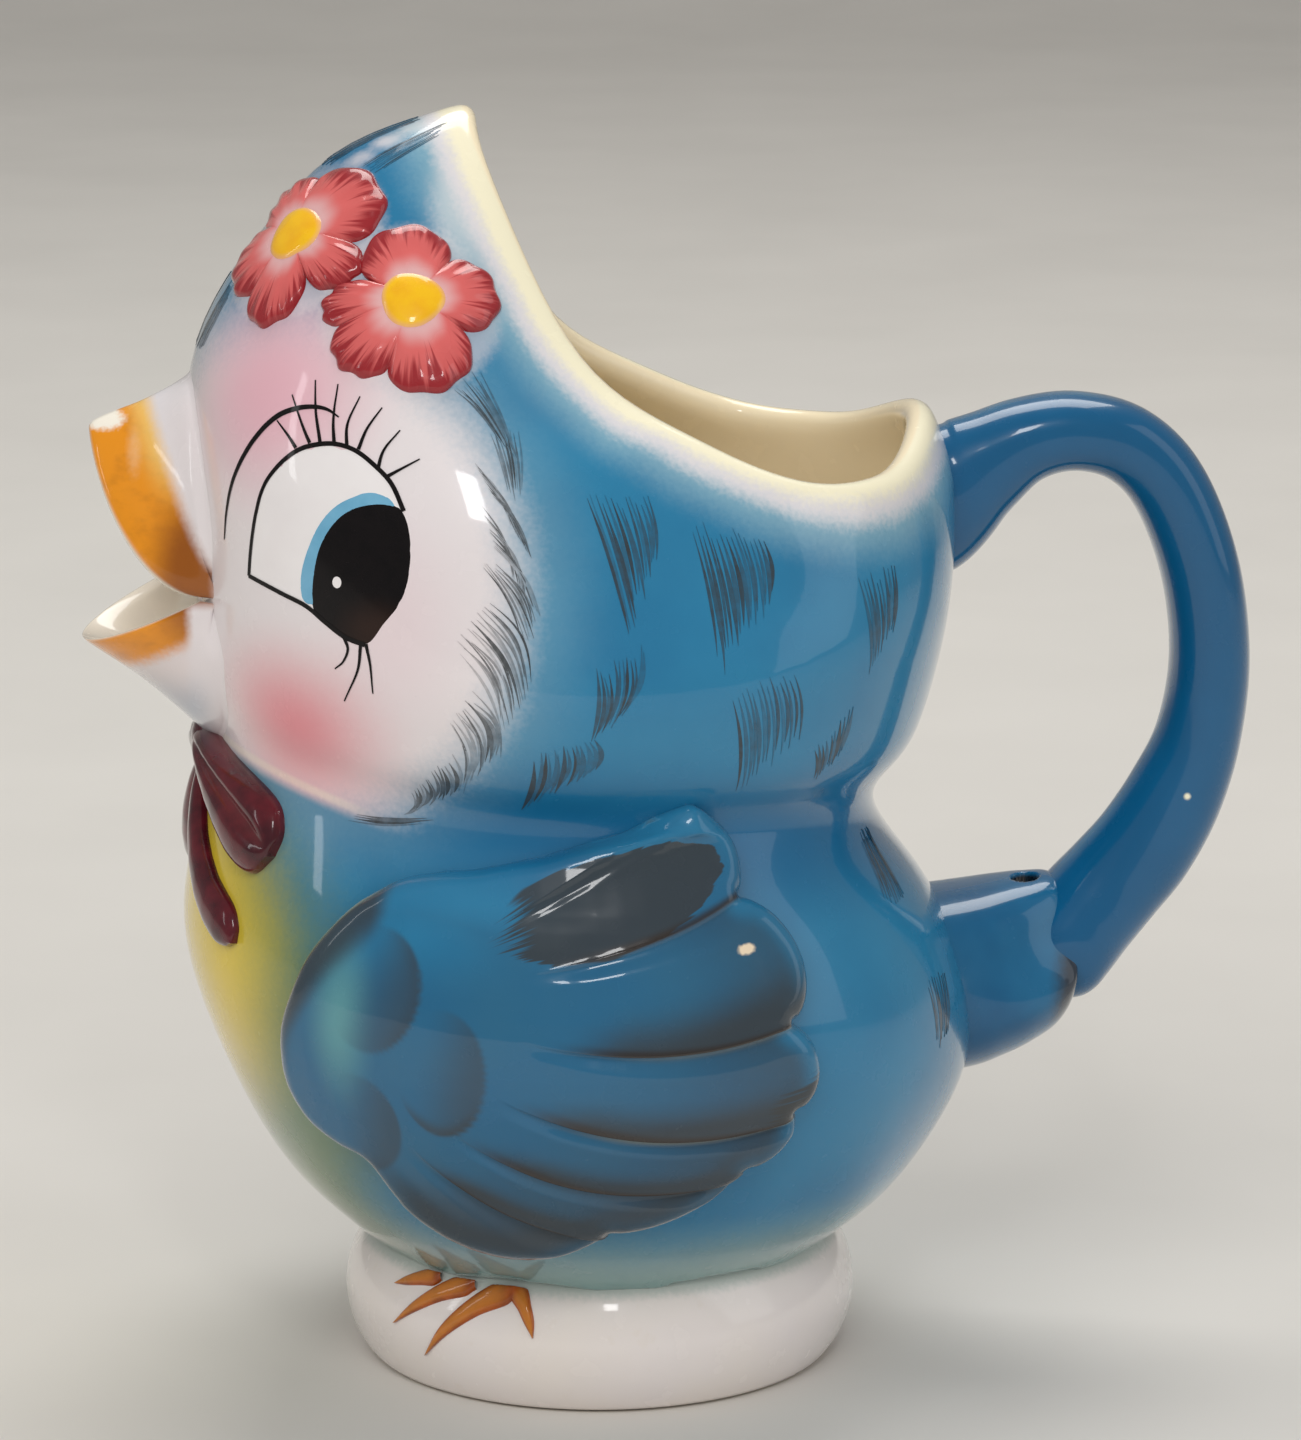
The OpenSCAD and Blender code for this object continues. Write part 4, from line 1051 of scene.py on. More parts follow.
class CREAM_JUG_OT_wings(Piece, bpy.types.Operator):
    """Relief wings of six overlapping feathers with brushed and sprayed shading"""

    bl_idname = "cream_jug.wings"
    bl_label = "Wings"
    # The seven notches that part the feathers: turn, bend towards the root, and length. Then
    # how far each feather stands out between its notches, and the shoulder as turn and length
    tips = [31.6, 12.8, -8.0, -21.0, -31.5, -53.5, -98.0]
    bends = [0.0, -12.0, -25.0, -42.0, -63.0, -65.0, -25.0]
    notches = [28.1, 28.4, 31.0, 33.2, 32.2, 28.0, 20.2]
    bulges = [2.0, 2.6, 1.9, 1.3, 0.9, 2.1]
    shoulder = [
        (-98, 20.2), (-105, 17.4), (-113.6, 17.2), (-125, 16.9), (-137, 15.4), (-150.5, 12.7),
        (-171, 9.7), (-204, 7.9), (-238, 7.7), (-258, 8.2), (-280, 9.0), (-299, 10.6),
        (-312, 13.6), (-318, 16.2), (-325, 21.4), (-327, 25.4), (-328.4, 28.1),
    ]
    # Middle and half axes of the small feathers, and the outline of the brush smudge
    coverts = [(-1.8, -0.9, 3.8, 5.0), (3.7, -7.3, 3.4, 5.1), (-3.4, -12.2, 3.6, 4.4)]
    smudge = [
        (5.2, 2.6), (6.6, 5.0), (8.7, 7.7), (14.8, 9.6), (21.6, 11.4), (25.4, 10.4), (26.1, 8.3),
        (23.7, 5.4), (20.7, 3.7), (16.2, 2.0), (11.9, 1.4), (7.6, 1.9),
    ]
    marks = ["shade", "brush", "line", "covert", "sheen", "root", "worn", "brim", "lane", "reach"]
    # Share of straw colour along the upper edge of each feather: a painted highlight on the edge,
    # partly bare glaze from wear
    worn = [0.0, 0.0, 0.12, 0.4, 0.2, 0.0]
    # Share of the way round that the feathers take, depth of the under side in the body in mm, and
    # places along the edge that are kept to measure from
    part, sunk, places = 0.66, 0.9, 900

    def edge(self, s, reach):
        """Lane, turn and length of one ray. Lanes 0 to 6 are feathers, then comes the shoulder."""
        if s < self.part:
            lane = s / self.part * 6
            k = min(5, int(lane))
            side = lane - k
            mixed = lambda row: row[k] + (row[k + 1] - row[k]) * side
            far = mixed(self.notches) + self.bulges[k] * math.sin(math.pi * side) ** 0.6
            return lane, mixed(self.tips) + mixed(self.bends) * (1 - reach), far
        f = (s - self.part) / (1 - self.part)
        turn, far = along(self.shoulder, f)
        return 6 + f, turn + self.bends[6] * (1 - reach) * (1 - ease(0.0, 0.3, f)), far

    def rise(self, lane, r, reach, inward, relief, drop):
        """Height over the body of a point this far inside the wing's edge."""
        roll = 1 - min(1.0, inward / 2.0)
        up = relief * math.sqrt(max(0.0, 1 - roll ** 2.2)) - 0.35 * roll ** 6
        if lane < 6:
            k = min(5, int(lane))
            side = lane - k
            fan = ease(8.5 + lane, 14.0 + lane, r)
            low = 0.95 * (1 - ease(0.0, 0.22, side)) + 0.3 * ease(0.5, 1.0, side) ** 1.5
            low *= ease(0.0, 0.3, side) if k == 0 else 1.0
            low *= 1 - ease(0.5, 1.0, side) if k == 5 else 1.0
            up -= drop * fan * (0.55 + 0.45 * reach) * low * (1 - 0.8 * roll)
            up -= 0.45 * fan * ease(1.5, 4.0, inward) * math.sin(math.pi * side) ** 0.5
        return up

    def paint(self, lane, r, reach, inward, p, q):
        """Shares of the wing's paints at a point of the chart."""
        m = dict.fromkeys(self.marks, 0.0)
        m["lane"], m["reach"] = lane, reach
        fan = ease(11.0 + 0.4 * lane, 18.0 + 0.4 * lane, r)
        if lane < 6:
            k = min(5, int(lane))
            side = lane - k
            wide = r * math.radians(abs(self.tips[k] - self.tips[k + 1]))
            if k < 5:
                # Painted shadow line in the groove along the feather's lower edge
                m["line"] = fan * ease(0.8, 0.2, (1 - side) * wide)
            # Painted highlight along the rolled edge of each feather tip
            m["brim"] = fan * ease(3.0, 0.9, inward) * ease(1.0, 0.4, side)
            if k:
                # Painted highlight, partly bare glaze from wear, along the upper edge of the
                # feather
                bare = ease(0.5, 0.72, reach) * ease(0.34, 0.1, side * wide)
                m["worn"] = self.worn[k] * bare
                dusk = 0.8 * ease(0.3, 1.0, side) ** 1.3 + 0.45 * ease(0.5, 0.97, reach)
                dusk += 0.1 * k
                dusk *= 1 - ease(0.45, 0.95, side) if k == 5 else 1.0
                m["shade"] = fan * dusk * (1 - 0.75 * m["brim"])
                m["shade"] += 0.5 * ease(4.5, 0.6, inward) * ease(-9.0, -17.0, q)
            if k == 2:
                m["brush"] = 0.8 * ease(4.5, 1.0, inward) * ease(0.3, 0.6, side)
        else:
            # Painted highlight along the rolled edge of the shoulder
            m["brim"] = 0.8 * ease(3.0, 1.0, inward) * ease(12.0, 18.0, p)
        for i, (ca, cb, ra, rb) in enumerate(self.coverts):
            a, b = (p - ca) / ra, (q - cb) / rb
            d = math.hypot(a, b)
            crisp = ease(1.05, 0.95, d)
            m["covert"] = max(m["covert"], crisp * ease(-0.7, 0.9, a - 0.3 * b))
            rims = (
                0.45 * crisp * ease(0.5, 1.0, d) * ease(-0.2, 0.8, a),
                0.8 * crisp * ease(0.62, 1.0, d) * ease(0.1, 0.9, -b),
                0.0,
            )
            m["shade"] = max(m["shade"], rims[i])
        m["sheen"] = ease(1.1, 0.0, math.hypot((p + 4.3) / 3.2, (q + 3.6) / 8.0))
        neck = ease(17.0, 7.0, p) * ease(2.5, 6.5, q) * ease(-5.0, -2.0, p)
        m["root"] = max(ease(10.0, 3.0, r) * ease(-2.0, 4.0, q), neck)
        wide = 3.0 + 2.6 * ease(-7.0, 4.0, q)
        front = ease(wide, 0.35 * wide, inward) * ease(-0.5, -3.0, p) * ease(-14.0, -2.0, q)
        edged = ease(2.4, 0.6, inward) * ease(-2.0, -6.0, p)
        m["shade"] = max(m["shade"], 0.95 * front, 0.55 * edged)
        m["worn"] = max(m["worn"], ease(0.9, 0.3, inward) * ease(-1.0, -5.0, p))
        wet = ease(4.0, 13.0, p) + 0.7 * ease(10.0, 16.0, p)
        m["brush"] = max(m["brush"], ease(-0.4, 0.7, depth_in(self.smudge, p, q)) * wet)
        return m

    def execute(self, context):
        chart = flank_chart(Skin.of("body_shell"))
        relief, drop = sizes().wing / MM, sizes().groove / MM
        rim = KDTree(self.places)
        for i in range(self.places):
            _, turn, far = self.edge(i / self.places, 1.0)
            a = math.radians(turn)
            rim.insert((far * math.cos(a), far * math.sin(a), 0), i)
        rim.balance()

        def spot(s, t):
            reach, top = folded(t, 0.84)
            lane, turn, far = self.edge(s, reach)
            a, r = math.radians(turn), far * reach
            p, q = r * math.cos(a), r * math.sin(a)
            point, lean = chart(p, q)
            if not top:
                return point - lean * self.sunk, {}
            inward = rim.find((p, q, 0))[2] if reach < 1 else 0.0
            up = self.rise(lane, r, reach, inward, relief, drop)
            return point + lean * up, self.paint(lane, r, reach, inward, p, q)

        bm = bmesh.new()
        shaped(bm, 420, 96, spot, marks=self.marks)
        pair(bm, "wing_relief", glazed("wing glaze", wing_coats), ["wing"])
        return {"FINISHED"}


class CREAM_JUG_OT_blossoms(Piece, bpy.types.Operator):
    """Two five petal blossoms on the left of the head"""

    bl_idname = "cream_jug.blossoms"
    bl_label = "Blossoms"
    # Lean, right and up of a blossom's chart, radius of each petal, turn and radius of each
    # notch after a petal, and shift of the ribs
    flowers = {
        "side": (
            (-0.031, -0.79, 0.612), (0.999, -0.039, 0), (0.024, 0.612, 0.791),
            [8.1, 7.8, 8.6, 8.3, 7.7],
            [(52, 5.6), (-30, 4.9), (-111, 6.6), (-168, 6.5), (-215, 4.5)],
            0.4,
        ),
        "front": (
            (-0.605, -0.434, 0.667), (0.582, -0.813, 0), (0.543, 0.389, 0.745),
            [8.4, 8.1, 8.8, 8.2, 7.8],
            [(9, 5.6), (-48, 4.7), (-111, 6.3), (-186, 6.0), (-252, 6.2)],
            1.3,
        ),
    }
    centre_radius = 2.75

    def execute(self, context):
        skin = Skin.of("body_shell")
        high = sizes().petal / MM
        for name, (lean, right, up, lobes, notches, shift) in self.flowers.items():
            chart = flat_chart(skin, FLOWERS[name], lean, right, up)

            def rim(s):
                """Turn, radius and share across the petal at a share of the way round."""
                k = min(4, int(s * 5))
                f = s * 5 - k
                a, ra = notches[k - 1] if k else (notches[4][0] + 360, notches[4][1])
                b, rb = notches[k]
                swell = math.sin(math.pi * f)
                frill = 0.18 * swell * math.sin(7 * math.pi * f + k)
                far = ra + (rb - ra) * f + (lobes[k] - (ra + rb) / 2) * swell ** 0.6
                return math.radians(a + (b - a) * f), far + frill, f

            def petals(s, t):
                a, far, f = rim(s)
                reach, top = folded(t, 0.76)
                point, way = chart(far * reach * math.cos(a), far * reach * math.sin(a))
                if not top:
                    return point - way * 0.6, {"far": 1.0}
                roll = 1 - min(1.0, (1 - reach) * far / 1.5)
                swell = 0.45 + 0.55 * math.sin(math.pi * f) ** 0.7
                pillow = 0.62 + 0.38 * math.sin(math.pi * min(1.0, reach * 0.95))
                ribs = 0.07 * math.sin(9 * math.pi * f + shift) * ease(0.45, 0.9, reach)
                rise = high * pillow * (1 - (1 - swell) * ease(0.4, 0.95, reach)) + ribs
                rise = rise * math.sqrt(max(0.0, 1 - roll ** 2.2)) - 0.25 * roll ** 6
                return point + way * rise, {"far": reach}

            def centre(s, t):
                a = 2 * math.pi * s
                reach, top = folded(t, 0.72)
                far = self.centre_radius * (1 + 0.05 * math.sin(3 * a + 1)) * reach
                point, way = chart(far * math.cos(a), far * math.sin(a))
                if not top:
                    return point + way * 0.3, {"far": 1.0}
                rise = high * 0.7 + 0.6 * math.sqrt(max(0.0, 1 - reach ** 2.4))
                return point + way * rise, {"far": reach}

            bm = bmesh.new()
            shaped(bm, 280, 64, petals, marks=["far"])
            glaze = glazed("petal glaze", petal_coats)
            settle(bm, f"petals_{name}", glaze, [f"blossom_{name}_petals"])
            bm = bmesh.new()
            shaped(bm, 64, 24, centre, marks=["far"])
            glaze = glazed("flower centre glaze", centre_coats)
            node = f"blossom_{name}_centre"
            settle(bm, f"flower_centre_{name}", glaze, [node])
        return {"FINISHED"}


class CREAM_JUG_OT_bow(Piece, bpy.types.Operator):
    """Bow under the beak: knot, two drooping loops and two tails"""

    bl_idname = "cream_jug.bow"
    bl_label = "Bow"
    # Turn in degrees, height, half width and relief in mm along each strip
    loop = [
        (-180, 58.2, 0.9, 1.6), (-175, 57.4, 1.7, 2.2), (-168.5, 56.0, 2.4, 2.3),
        (-161.5, 54.3, 3.1, 2.2), (-155.0, 52.6, 3.5, 2.1), (-151.4, 51.5, 3.1, 1.8),
        (-149.2, 50.9, 2.0, 1.4), (-148.2, 50.6, 0.0, 1.0),
    ]
    tail = [
        (-179.5, 56.4, 0.8, 1.0), (-176.0, 53.0, 1.05, 1.3), (-171.0, 49.4, 1.4, 1.4),
        (-164.5, 46.2, 1.8, 1.4), (-158.0, 44.0, 2.0, 1.3), (-155.0, 43.0, 1.3, 1.0),
        (-153.6, 42.5, 0.0, 0.7),
    ]
    knot = [
        (-180, 60.6, 0.0, 1.0), (-180, 60.0, 1.7, 1.5), (-180, 58.0, 2.4, 2.0),
        (-180, 56.0, 1.6, 1.6), (-180, 55.2, 0.0, 1.0),
    ]
    # Place of the fold across a loop, from -1 to 1, how wide and deep it is, and the depth of the
    # under side in the body in mm
    fold_at, fold_wide, fold_deep, sunk = 0.15, 0.16, 0.42, 0.6

    def strip(self, chart, line, fold=0.0):
        """Strip of the bow along a line of turn, height, half width and relief."""

        def dome(w, t):
            dent = fold * math.exp(-(((w - self.fold_at) / self.fold_wide) ** 2))
            dent *= ease(0.08, 0.3, t) * ease(0.92, 0.6, t)
            return max(0.0, 1 - abs(w) ** 2.4) ** 0.5 * (1 - dent)

        # The fold's mark is painted lighter in the bow's paint, as a painted highlight
        def crease(w, t):
            along_fold = ease(0.1, 0.4, t) * ease(0.98, 0.6, t)
            return 0.8 * fold * ease(0.3, 0.05, abs(w - self.fold_at)) * along_fold

        path = [(*flank_spot(turn, z), half, high) for turn, z, half, high in line]
        bm = bmesh.new()
        band(bm, chart, path, 100, 48, dome, self.sunk, crease)
        return bm

    def execute(self, context):
        chart = flank_chart(Skin.of("body_shell"))
        finish = glazed("bow glaze", bow_coats, rough=0.22)
        loop, tail = self.strip(chart, self.loop, self.fold_deep), self.strip(chart, self.tail)
        pair(loop, "bow_loop", finish, ["bow_loop"])
        pair(tail, "bow_tail", finish, ["bow_tail"])
        knot = self.strip(chart, self.knot)
        settle(knot, "bow_knot_round", finish, ["bow_knot"])
        return {"FINISHED"}


class CREAM_JUG_OT_eyes(Piece, bpy.types.Operator):
    """Painted eyes with lids, lashes, iris and glint"""

    bl_idname = "cream_jug.eyes"
    bl_label = "Eyes"
    # The plane that the eye is drawn on, and how deep its paint reaches into the glaze in mm
    middle, lean = (-24.39, -23.96, 79.23), (-0.501, -0.842, 0.2)
    right, up = (0.859, -0.511, 0), (0.103, 0.172, 0.98)
    sunk = 0.12
    outline = [
        (-10.7, -3.0), (-10.4, -0.7), (-9.8, 2.2), (-8.9, 4.8), (-7.3, 6.8), (-5.6, 8.1),
        (-3.9, 8.7), (-2.1, 8.9), (-0.2, 8.5), (1.7, 7.4), (3.5, 5.9), (4.9, 3.7),
    ]
    lid = [
        (-10.7, -3.0), (-8.7, -3.6), (-6.4, -4.3), (-3.9, -5.1), (-1.9, -6.3), (0.1, -7.4),
        (2.1, -7.9),
    ]
    crease = [
        (-14.1, -0.1), (-13.7, 2.4), (-12.9, 4.9), (-11.4, 7.5), (-9.8, 9.5), (-8.2, 10.9),
        (-6.6, 11.6), (-5.0, 11.9), (-3.5, 11.8), (-2.2, 11.2),
    ]
    pupil = [
        (2.3, 4.4), (4.0, 4.3), (5.2, 3.1), (5.9, 0.7), (5.9, -2.2), (5.2, -4.3), (3.9, -6.0),
        (2.4, -7.8), (0.6, -7.5), (-1.9, -6.3), (-3.3, -5.2), (-3.5, -3.3), (-2.9, -0.2),
        (-1.6, 2.2), (0.1, 3.7),
    ]
    iris = [
        (4.0, 4.6), (2.1, 5.3), (0.4, 4.8), (-1.3, 3.8), (-2.8, 2.1), (-3.9, -0.1), (-4.6, -2.2),
        (-4.7, -3.9), (-4.3, -4.8), (-2.6, -5.2), (1.0, -5.0), (4.0, -2.0), (5.0, 2.0),
    ]
    lashes = [
        [(-5.8, 8.3), (-6.9, 9.4), (-8.2, 10.5)], [(-4.5, 8.8), (-5.6, 10.4), (-7.1, 12.8)],
        [(-3.5, 8.9), (-4.5, 11.7), (-5.1, 14.2)], [(-2.2, 9.0), (-2.7, 11.2), (-2.9, 14.0)],
        [(-1.0, 8.8), (-1.3, 10.7), (-0.7, 13.1)], [(0.1, 8.6), (0.5, 10.4), (1.4, 12.3)],
        [(2.1, 7.0), (2.3, 8.7), (3.3, 10.5)], [(3.0, 6.5), (4.0, 7.2), (5.4, 8.2)],
        [(0.0, -7.4), (0.4, -8.4), (-0.1, -9.5), (-1.0, -10.2)],
        [(1.7, -7.9), (1.3, -10.2), (-0.3, -12.9)], [(2.2, -7.8), (2.6, -9.7), (2.7, -12.0)],
    ]

    # Middle and half axes of the glint, and the turn between its points, about 45 degrees
    glint, eighth = (-0.7, -2.8, 0.5, 0.55), 0.785

    def line(self, bm, chart, points, half, ends, rows):
        """Painted line whose half width swells between its two ends."""
        first, last, middle = ends
        path = []
        for i, (a, b) in enumerate(points):
            f = i / (len(points) - 1)
            share = max(first + (last - first) * f, middle * math.sin(math.pi * f) ** 0.5)
            path.append((a, b, half * share, sizes().film / MM))
        band(bm, chart, path, rows, 4, lambda w, t: 2.0 if abs(w) < 0.5 else 1.2, self.sunk)

    def execute(self, context):
        chart = flat_chart(Skin.of("body_shell"), self.middle, self.lean, self.right, self.up)
        film = sizes().film / MM
        white = self.outline + [(5.4, 1.0), (5.2, -3.0), (3.6, -6.2)] + self.lid[:0:-1]
        for name, shape, rise, coats, coat in (
            ("white", white, 0.6, white_coats, 1.0),
            ("iris", self.iris, 1.0, iris_coats, 1.0),
            ("pupil", self.pupil, 1.5, pupil_coats, 0.35),
        ):
            bm = film_mesh()
            patch(bm, chart, shape, 96, 26, film * rise, self.sunk)
            finish = glazed(f"eye {name} paint", coats, rough=0.24, dimple=0.02, coat=coat)
            pair(bm, f"eye_{name}", finish)
        bm = film_mesh()
        turns = [k * self.eighth for k in range(8)]
        ca, cb, ra, rb = self.glint
        glint = [(ca + ra * math.cos(a), cb + rb * math.sin(a)) for a in turns]
        patch(bm, chart, glint, 24, 10, film * 2.2, 0.1)
        pair(bm, "eye_glint", glazed("eye white paint", white_coats))
        bm = film_mesh()
        half = sizes().line / MM / 2
        self.line(bm, chart, self.outline, half, (0.9, 0.9, 1.0), 90)
        self.line(bm, chart, self.lid, half, (0.9, 1.0, 0.9), 40)
        self.line(bm, chart, self.crease, half * 1.15, (0.25, 0.25, 1.0), 60)
        for lash in self.lashes:
            self.line(bm, chart, lash, sizes().lash / MM / 2, (1.0, 0.35, 0.0), 18)
        pair(bm, "eye_lines", glazed("ink paint", ink_coats, rough=0.3, coat=0.3))
        return {"FINISHED"}


class CREAM_JUG_OT_strokes(Piece, bpy.types.Operator):
    """Fine brushed feather strokes round the face and on head and body"""

    bl_idname = "cream_jug.strokes"
    bl_label = "Feather strokes"
    # Each dab runs from a line of hair ends to a line of roots: two ends, two roots, hairs, bend
    dabs = [
        ((0.0, 50.0), (2.2, 51.2), (6.8, 44.9), (7.8, 44.1), 8, 0.35),
        ((4.6, 46.4), (7.4, 46.6), (7.6, 41.0), (8.5, 41.6), 6, 0.2),
        ((3.4, 44.8), (5.6, 42.0), (8.2, 38.6), (9.9, 36.2), 9, 0.5),
        ((5.0, 41.0), (6.8, 37.0), (8.4, 34.6), (11.0, 31.4), 10, 0.6),
        ((5.6, 36.0), (7.3, 36.0), (9.4, 29.4), (10.8, 30.8), 7, 0.5),
        ((4.0, 29.2), (6.6, 33.0), (7.8, 21.6), (10.2, 26.4), 13, 0.9),
        ((3.4, 22.2), (5.6, 25.4), (3.4, 15.6), (7.6, 19.6), 11, 1.0),
        ((-1.6, 15.4), (3.5, 19.7), (-2.8, 13.2), (3.4, 15.8), 11, 0.6),
        ((-7.8, 12.2), (-7.0, 13.0), (-0.5, 12.6), (0.5, 13.3), 3, -0.2),
        ((14.4, 40.8), (21.2, 41.0), (17.9, 29.8), (21.2, 35.9), 11, 0.4),
        ((24.7, 38.4), (32.0, 37.4), (25.2, 26.2), (31.6, 32.2), 12, 0.4),
        ((40.2, 32.8), (45.6, 33.3), (40.9, 24.5), (44.4, 28.0), 8, 0.3),
        ((26.2, 24.7), (32.4, 26.0), (27.9, 15.5), (33.8, 19.6), 11, 0.4),
        ((35.4, 18.2), (39.8, 21.8), (36.7, 15.0), (39.4, 17.6), 8, 0.2),
        ((15.0, 27.1), (19.4, 29.2), (14.6, 20.4), (17.9, 24.4), 9, 0.5),
        ((10.2, 19.9), (15.2, 21.6), (8.4, 14.2), (15.4, 18.6), 11, 0.5),
        ((48.6, 7.9), (52.4, 8.1), (45.9, 2.5), (51.2, 2.3), 8, 0.3),
        ((48.2, -4.7), (53.2, -4.9), (48.2, -10.9), (51.0, -9.7), 7, 0.3),
        ((-25.0, 70.3), (-22.2, 69.4), (-24.8, 67.0), (-21.6, 66.4), 7, 0.1),
        ((-31.8, 70.3), (-29.2, 70.3), (-32.0, 66.6), (-29.2, 66.8), 6, 0.1),
        ((-30.1, 56.9), (-28.3, 55.6), (-31.6, 50.8), (-28.9, 50.8), 6, 0.1),
    ]
    # Hairs drawn for each hair of the list, and the width along a hair
    thicker = 1.3
    swell = (0.04, 0.42, 0.8, 1.0, 0.92, 0.55, 0.05)

    def execute(self, context):
        chart = flank_chart(Skin.of("body_shell"))
        rng = random.Random(sizes().seed)
        film = sizes().film / MM
        ridge = lambda w, t: 1.0 if abs(w) < 0.5 else 0.5
        bm = film_mesh()
        ink = bm.verts.layers.float.new("ink")
        for *corners, hairs, bend in self.dabs:
            ends_a, ends_b, roots_a, roots_b = (Vector(v) for v in corners)
            count = round(hairs * self.thicker)
            wide = max((ends_b - ends_a).length, (roots_b - roots_a).length) / count
            for i in range(count):
                f = (i + rng.uniform(0.3, 0.7)) / count
                start = ends_a.lerp(ends_b, f)
                stop = roots_a.lerp(roots_b, f)
                run = stop - start
                start += run * rng.uniform(-0.06, 0.12)
                stop -= run * rng.uniform(-0.04, 0.16)
                side = Vector((-run.y, run.x)).normalized() * bend * rng.uniform(0.7, 1.2)
                half = wide * rng.uniform(0.24, 0.44)
                high = film * (0.8 + 0.5 * i / count)
                path = []
                for k, share in enumerate(self.swell):
                    g = k / (len(self.swell) - 1)
                    at = start.lerp(stop, g) + side * math.sin(math.pi * g)
                    path.append((at.x, at.y, half * share, high))
                strength = rng.uniform(0.4, 0.85)
                for v in band(bm, chart, path, 12, 4, ridge, 0.1):
                    v[ink] = strength
        finish = glazed("feather stroke paint", stroke_coats, coat=0.8)
        pair(bm, "feather_strokes", finish)
        return {"FINISHED"}


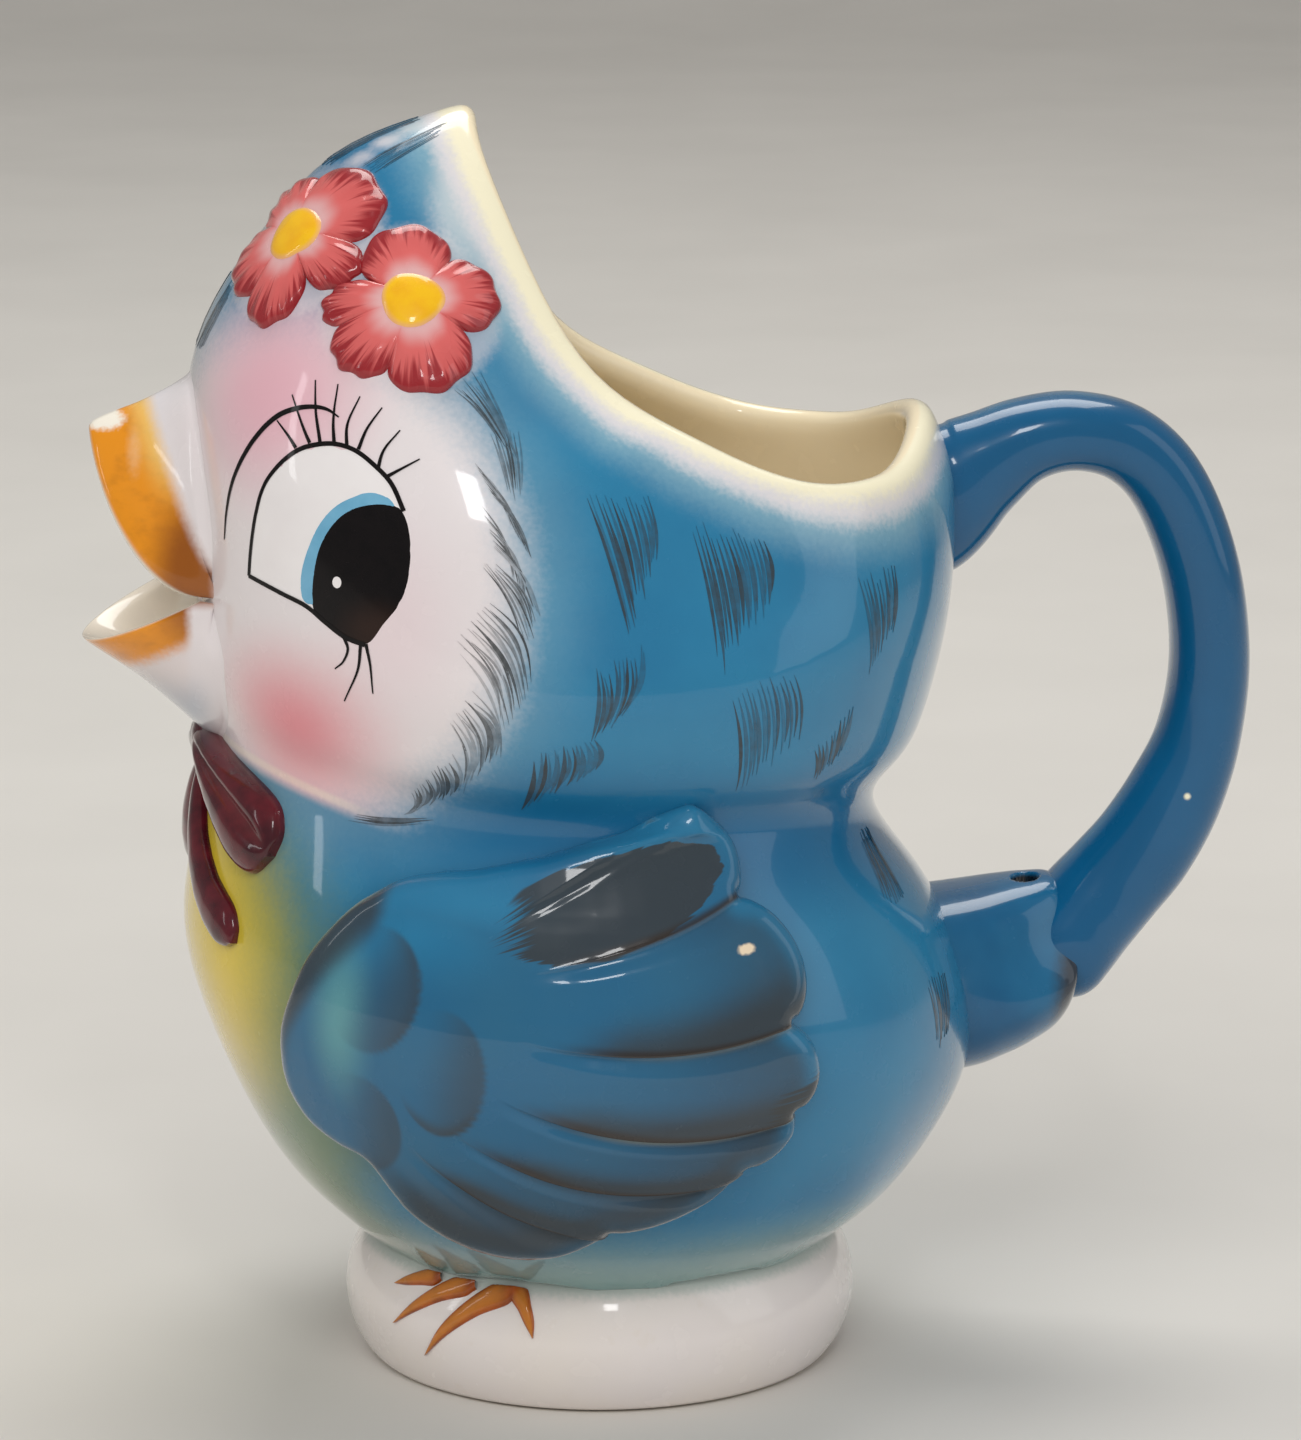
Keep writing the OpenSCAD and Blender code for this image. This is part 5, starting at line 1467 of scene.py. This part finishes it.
class CREAM_JUG_OT_stage(Piece, bpy.types.Operator):
    """Pale floor and backdrop, soft studio lights and the camera"""

    bl_idname = "cream_jug.stage"
    bl_label = "Stage"
    # Place, width and height in metres, power in watts, colour, and whether the glaze mirrors it
    lamps = {
        "key": ((-0.55, -0.95, 0.95), 0.9, 0.9, 7.2, (1.0, 0.98, 0.95), False),
        "fill": ((0.35, -1.1, 0.3), 1.0, 1.0, 2.4, (1.0, 0.99, 0.98), False),
        "side": ((0.75, -0.35, 0.42), 0.4, 0.8, 0.8, (0.98, 0.99, 1.0), True),
        "top": ((0.1, 0.35, 0.9), 0.6, 0.5, 4.4, (1.0, 0.99, 0.96), True),
        "window": ((-0.95, -0.2, 0.5), 0.06, 0.5, 0.4, (0.99, 0.99, 1.0), True),
        "pane": ((-0.01, -0.78, 0.74), 0.1, 0.2, 0.8, (1.0, 1.0, 1.0), True),
    }
    lamp_aim = (0, 0, 0.06)
    sky_colour, sky_strength = (1.0, 0.985, 0.96, 1.0), 0.25
    # Half width of the floor, height of the wall, radius of the bend between, and how near to the
    # floor's back edge an edge has to be to count as it, in metres
    floor, wall, bend, near = 1.6, 1.6, 0.6, 0.1
    # Aim and distance of the camera in metres, its turn and tilt in degrees, its lens in mm
    camera_aim, camera_far = (0.0047, 0, 0.0581), 0.55
    camera_turn, camera_tilt, camera_lens = -7, 13, 152.6

    def lamp(self, name, place, wide, tall, power, colour, shine):
        """Area lamp. One without shine lights the jug but leaves no patch on its glaze."""
        data = bpy.data.lights.new(name, "AREA")
        data.shape = "RECTANGLE"
        data.size, data.size_y = wide, tall
        data.energy = power
        data.color = colour
        lamp = linked(name, data)
        lamp.location = place
        lamp.visible_glossy = shine
        way = Vector(self.lamp_aim) - Vector(place)
        lamp.rotation_euler = way.to_track_quat("-Z", "Y").to_euler()

    def sweep(self):
        """Floor that bends up into a backdrop."""
        bm = bmesh.new()
        bmesh.ops.create_grid(bm, x_segments=1, y_segments=1, size=self.floor)
        at_back = lambda v: v.co.y > self.floor - self.near and v.co.z < self.near
        behind = lambda e: all(at_back(v) for v in e.verts)
        wall = bmesh.ops.extrude_edge_only(bm, edges=[e for e in bm.edges if behind(e)])
        raised = [v for v in wall["geom"] if isinstance(v, bmesh.types.BMVert)]
        bmesh.ops.translate(bm, vec=(0, 0, self.wall), verts=raised)
        bmesh.ops.bevel(
            bm,
            geom=[e for e in bm.edges if behind(e)],
            offset=self.bend,
            segments=16,
            profile=0.5,
            affect="EDGES",
            material=-1,
        )
        bmesh.ops.recalc_face_normals(bm, faces=bm.faces)
        paper = bpy.data.materials.new("pale paper")
        paper.use_nodes = True
        c = Coats(paper.node_tree)
        shader = paper.node_tree.nodes["Principled BSDF"]
        colour = c.mix(tint(226, 223, 218), tint(214, 211, 206), c.grain(0.02, 3.0))
        c.put(colour, shader.inputs["Base Color"])
        shader.inputs["Roughness"].default_value = 0.85
        return meshed(bm, "sweep", paper)

    def execute(self, context):
        scene = context.scene
        scene.view_settings.view_transform = "Standard"
        sweep = self.sweep()
        scene.world = bpy.data.worlds.new("studio")
        scene.world.use_nodes = True
        light = scene.world.node_tree.nodes["Background"].inputs
        light["Color"].default_value = self.sky_colour
        light["Strength"].default_value = self.sky_strength
        for name, values in self.lamps.items():
            self.lamp(name, *values)
        eye = bpy.data.cameras.new("camera")
        eye.sensor_fit = "VERTICAL"
        eye.sensor_height = 36.0
        eye.lens = self.camera_lens
        camera = linked("camera", eye)
        az, el = math.radians(self.camera_turn), math.radians(self.camera_tilt)
        flat = math.cos(el)
        back = Vector((math.sin(az) * flat, -math.cos(az) * flat, math.sin(el)))
        camera.location = Vector(self.camera_aim) + back * self.camera_far
        camera.rotation_euler = (-back).to_track_quat("-Z", "Y").to_euler()
        scene.camera = camera
        return {"FINISHED"}


class CREAM_JUG_PT_sidebar(bpy.types.Panel):
    """Lists the jug's pieces, sizes and paints"""

    bl_idname = "CREAM_JUG_PT_sidebar"
    bl_label = "Cream jug"
    bl_space_type = "VIEW_3D"
    bl_region_type = "UI"
    bl_category = "Cream jug"

    def draw(self, context):
        column = self.layout.column(align=True)
        for step in STEPS:
            column.operator(step.bl_idname)
        for group in (context.scene.cream_jug_sizes, context.scene.cream_jug_paints):
            column.separator()
            for key in group.__annotations__:
                column.prop(group, key)


STEPS = (
    CREAM_JUG_OT_body,
    CREAM_JUG_OT_foot,
    CREAM_JUG_OT_toes,
    CREAM_JUG_OT_handle,
    CREAM_JUG_OT_tail,
    CREAM_JUG_OT_beaks,
    CREAM_JUG_OT_wings,
    CREAM_JUG_OT_blossoms,
    CREAM_JUG_OT_bow,
    CREAM_JUG_OT_eyes,
    CREAM_JUG_OT_strokes,
    CREAM_JUG_OT_stage,
)
CLASSES = (CreamJugPaints, CreamJugSizes, *STEPS, CREAM_JUG_PT_sidebar)


def register():
    for each in CLASSES:
        bpy.utils.register_class(each)
    bpy.types.Scene.cream_jug_paints = bpy.props.PointerProperty(type=CreamJugPaints)
    bpy.types.Scene.cream_jug_sizes = bpy.props.PointerProperty(type=CreamJugSizes)


def unregister():
    del bpy.types.Scene.cream_jug_sizes
    del bpy.types.Scene.cream_jug_paints
    for each in reversed(CLASSES):
        bpy.utils.unregister_class(each)


def main():
    register()
    for step in STEPS:
        group, name = step.bl_idname.split(".")
        getattr(getattr(bpy.ops, group), name)()


if __name__ == "__main__":
    main()
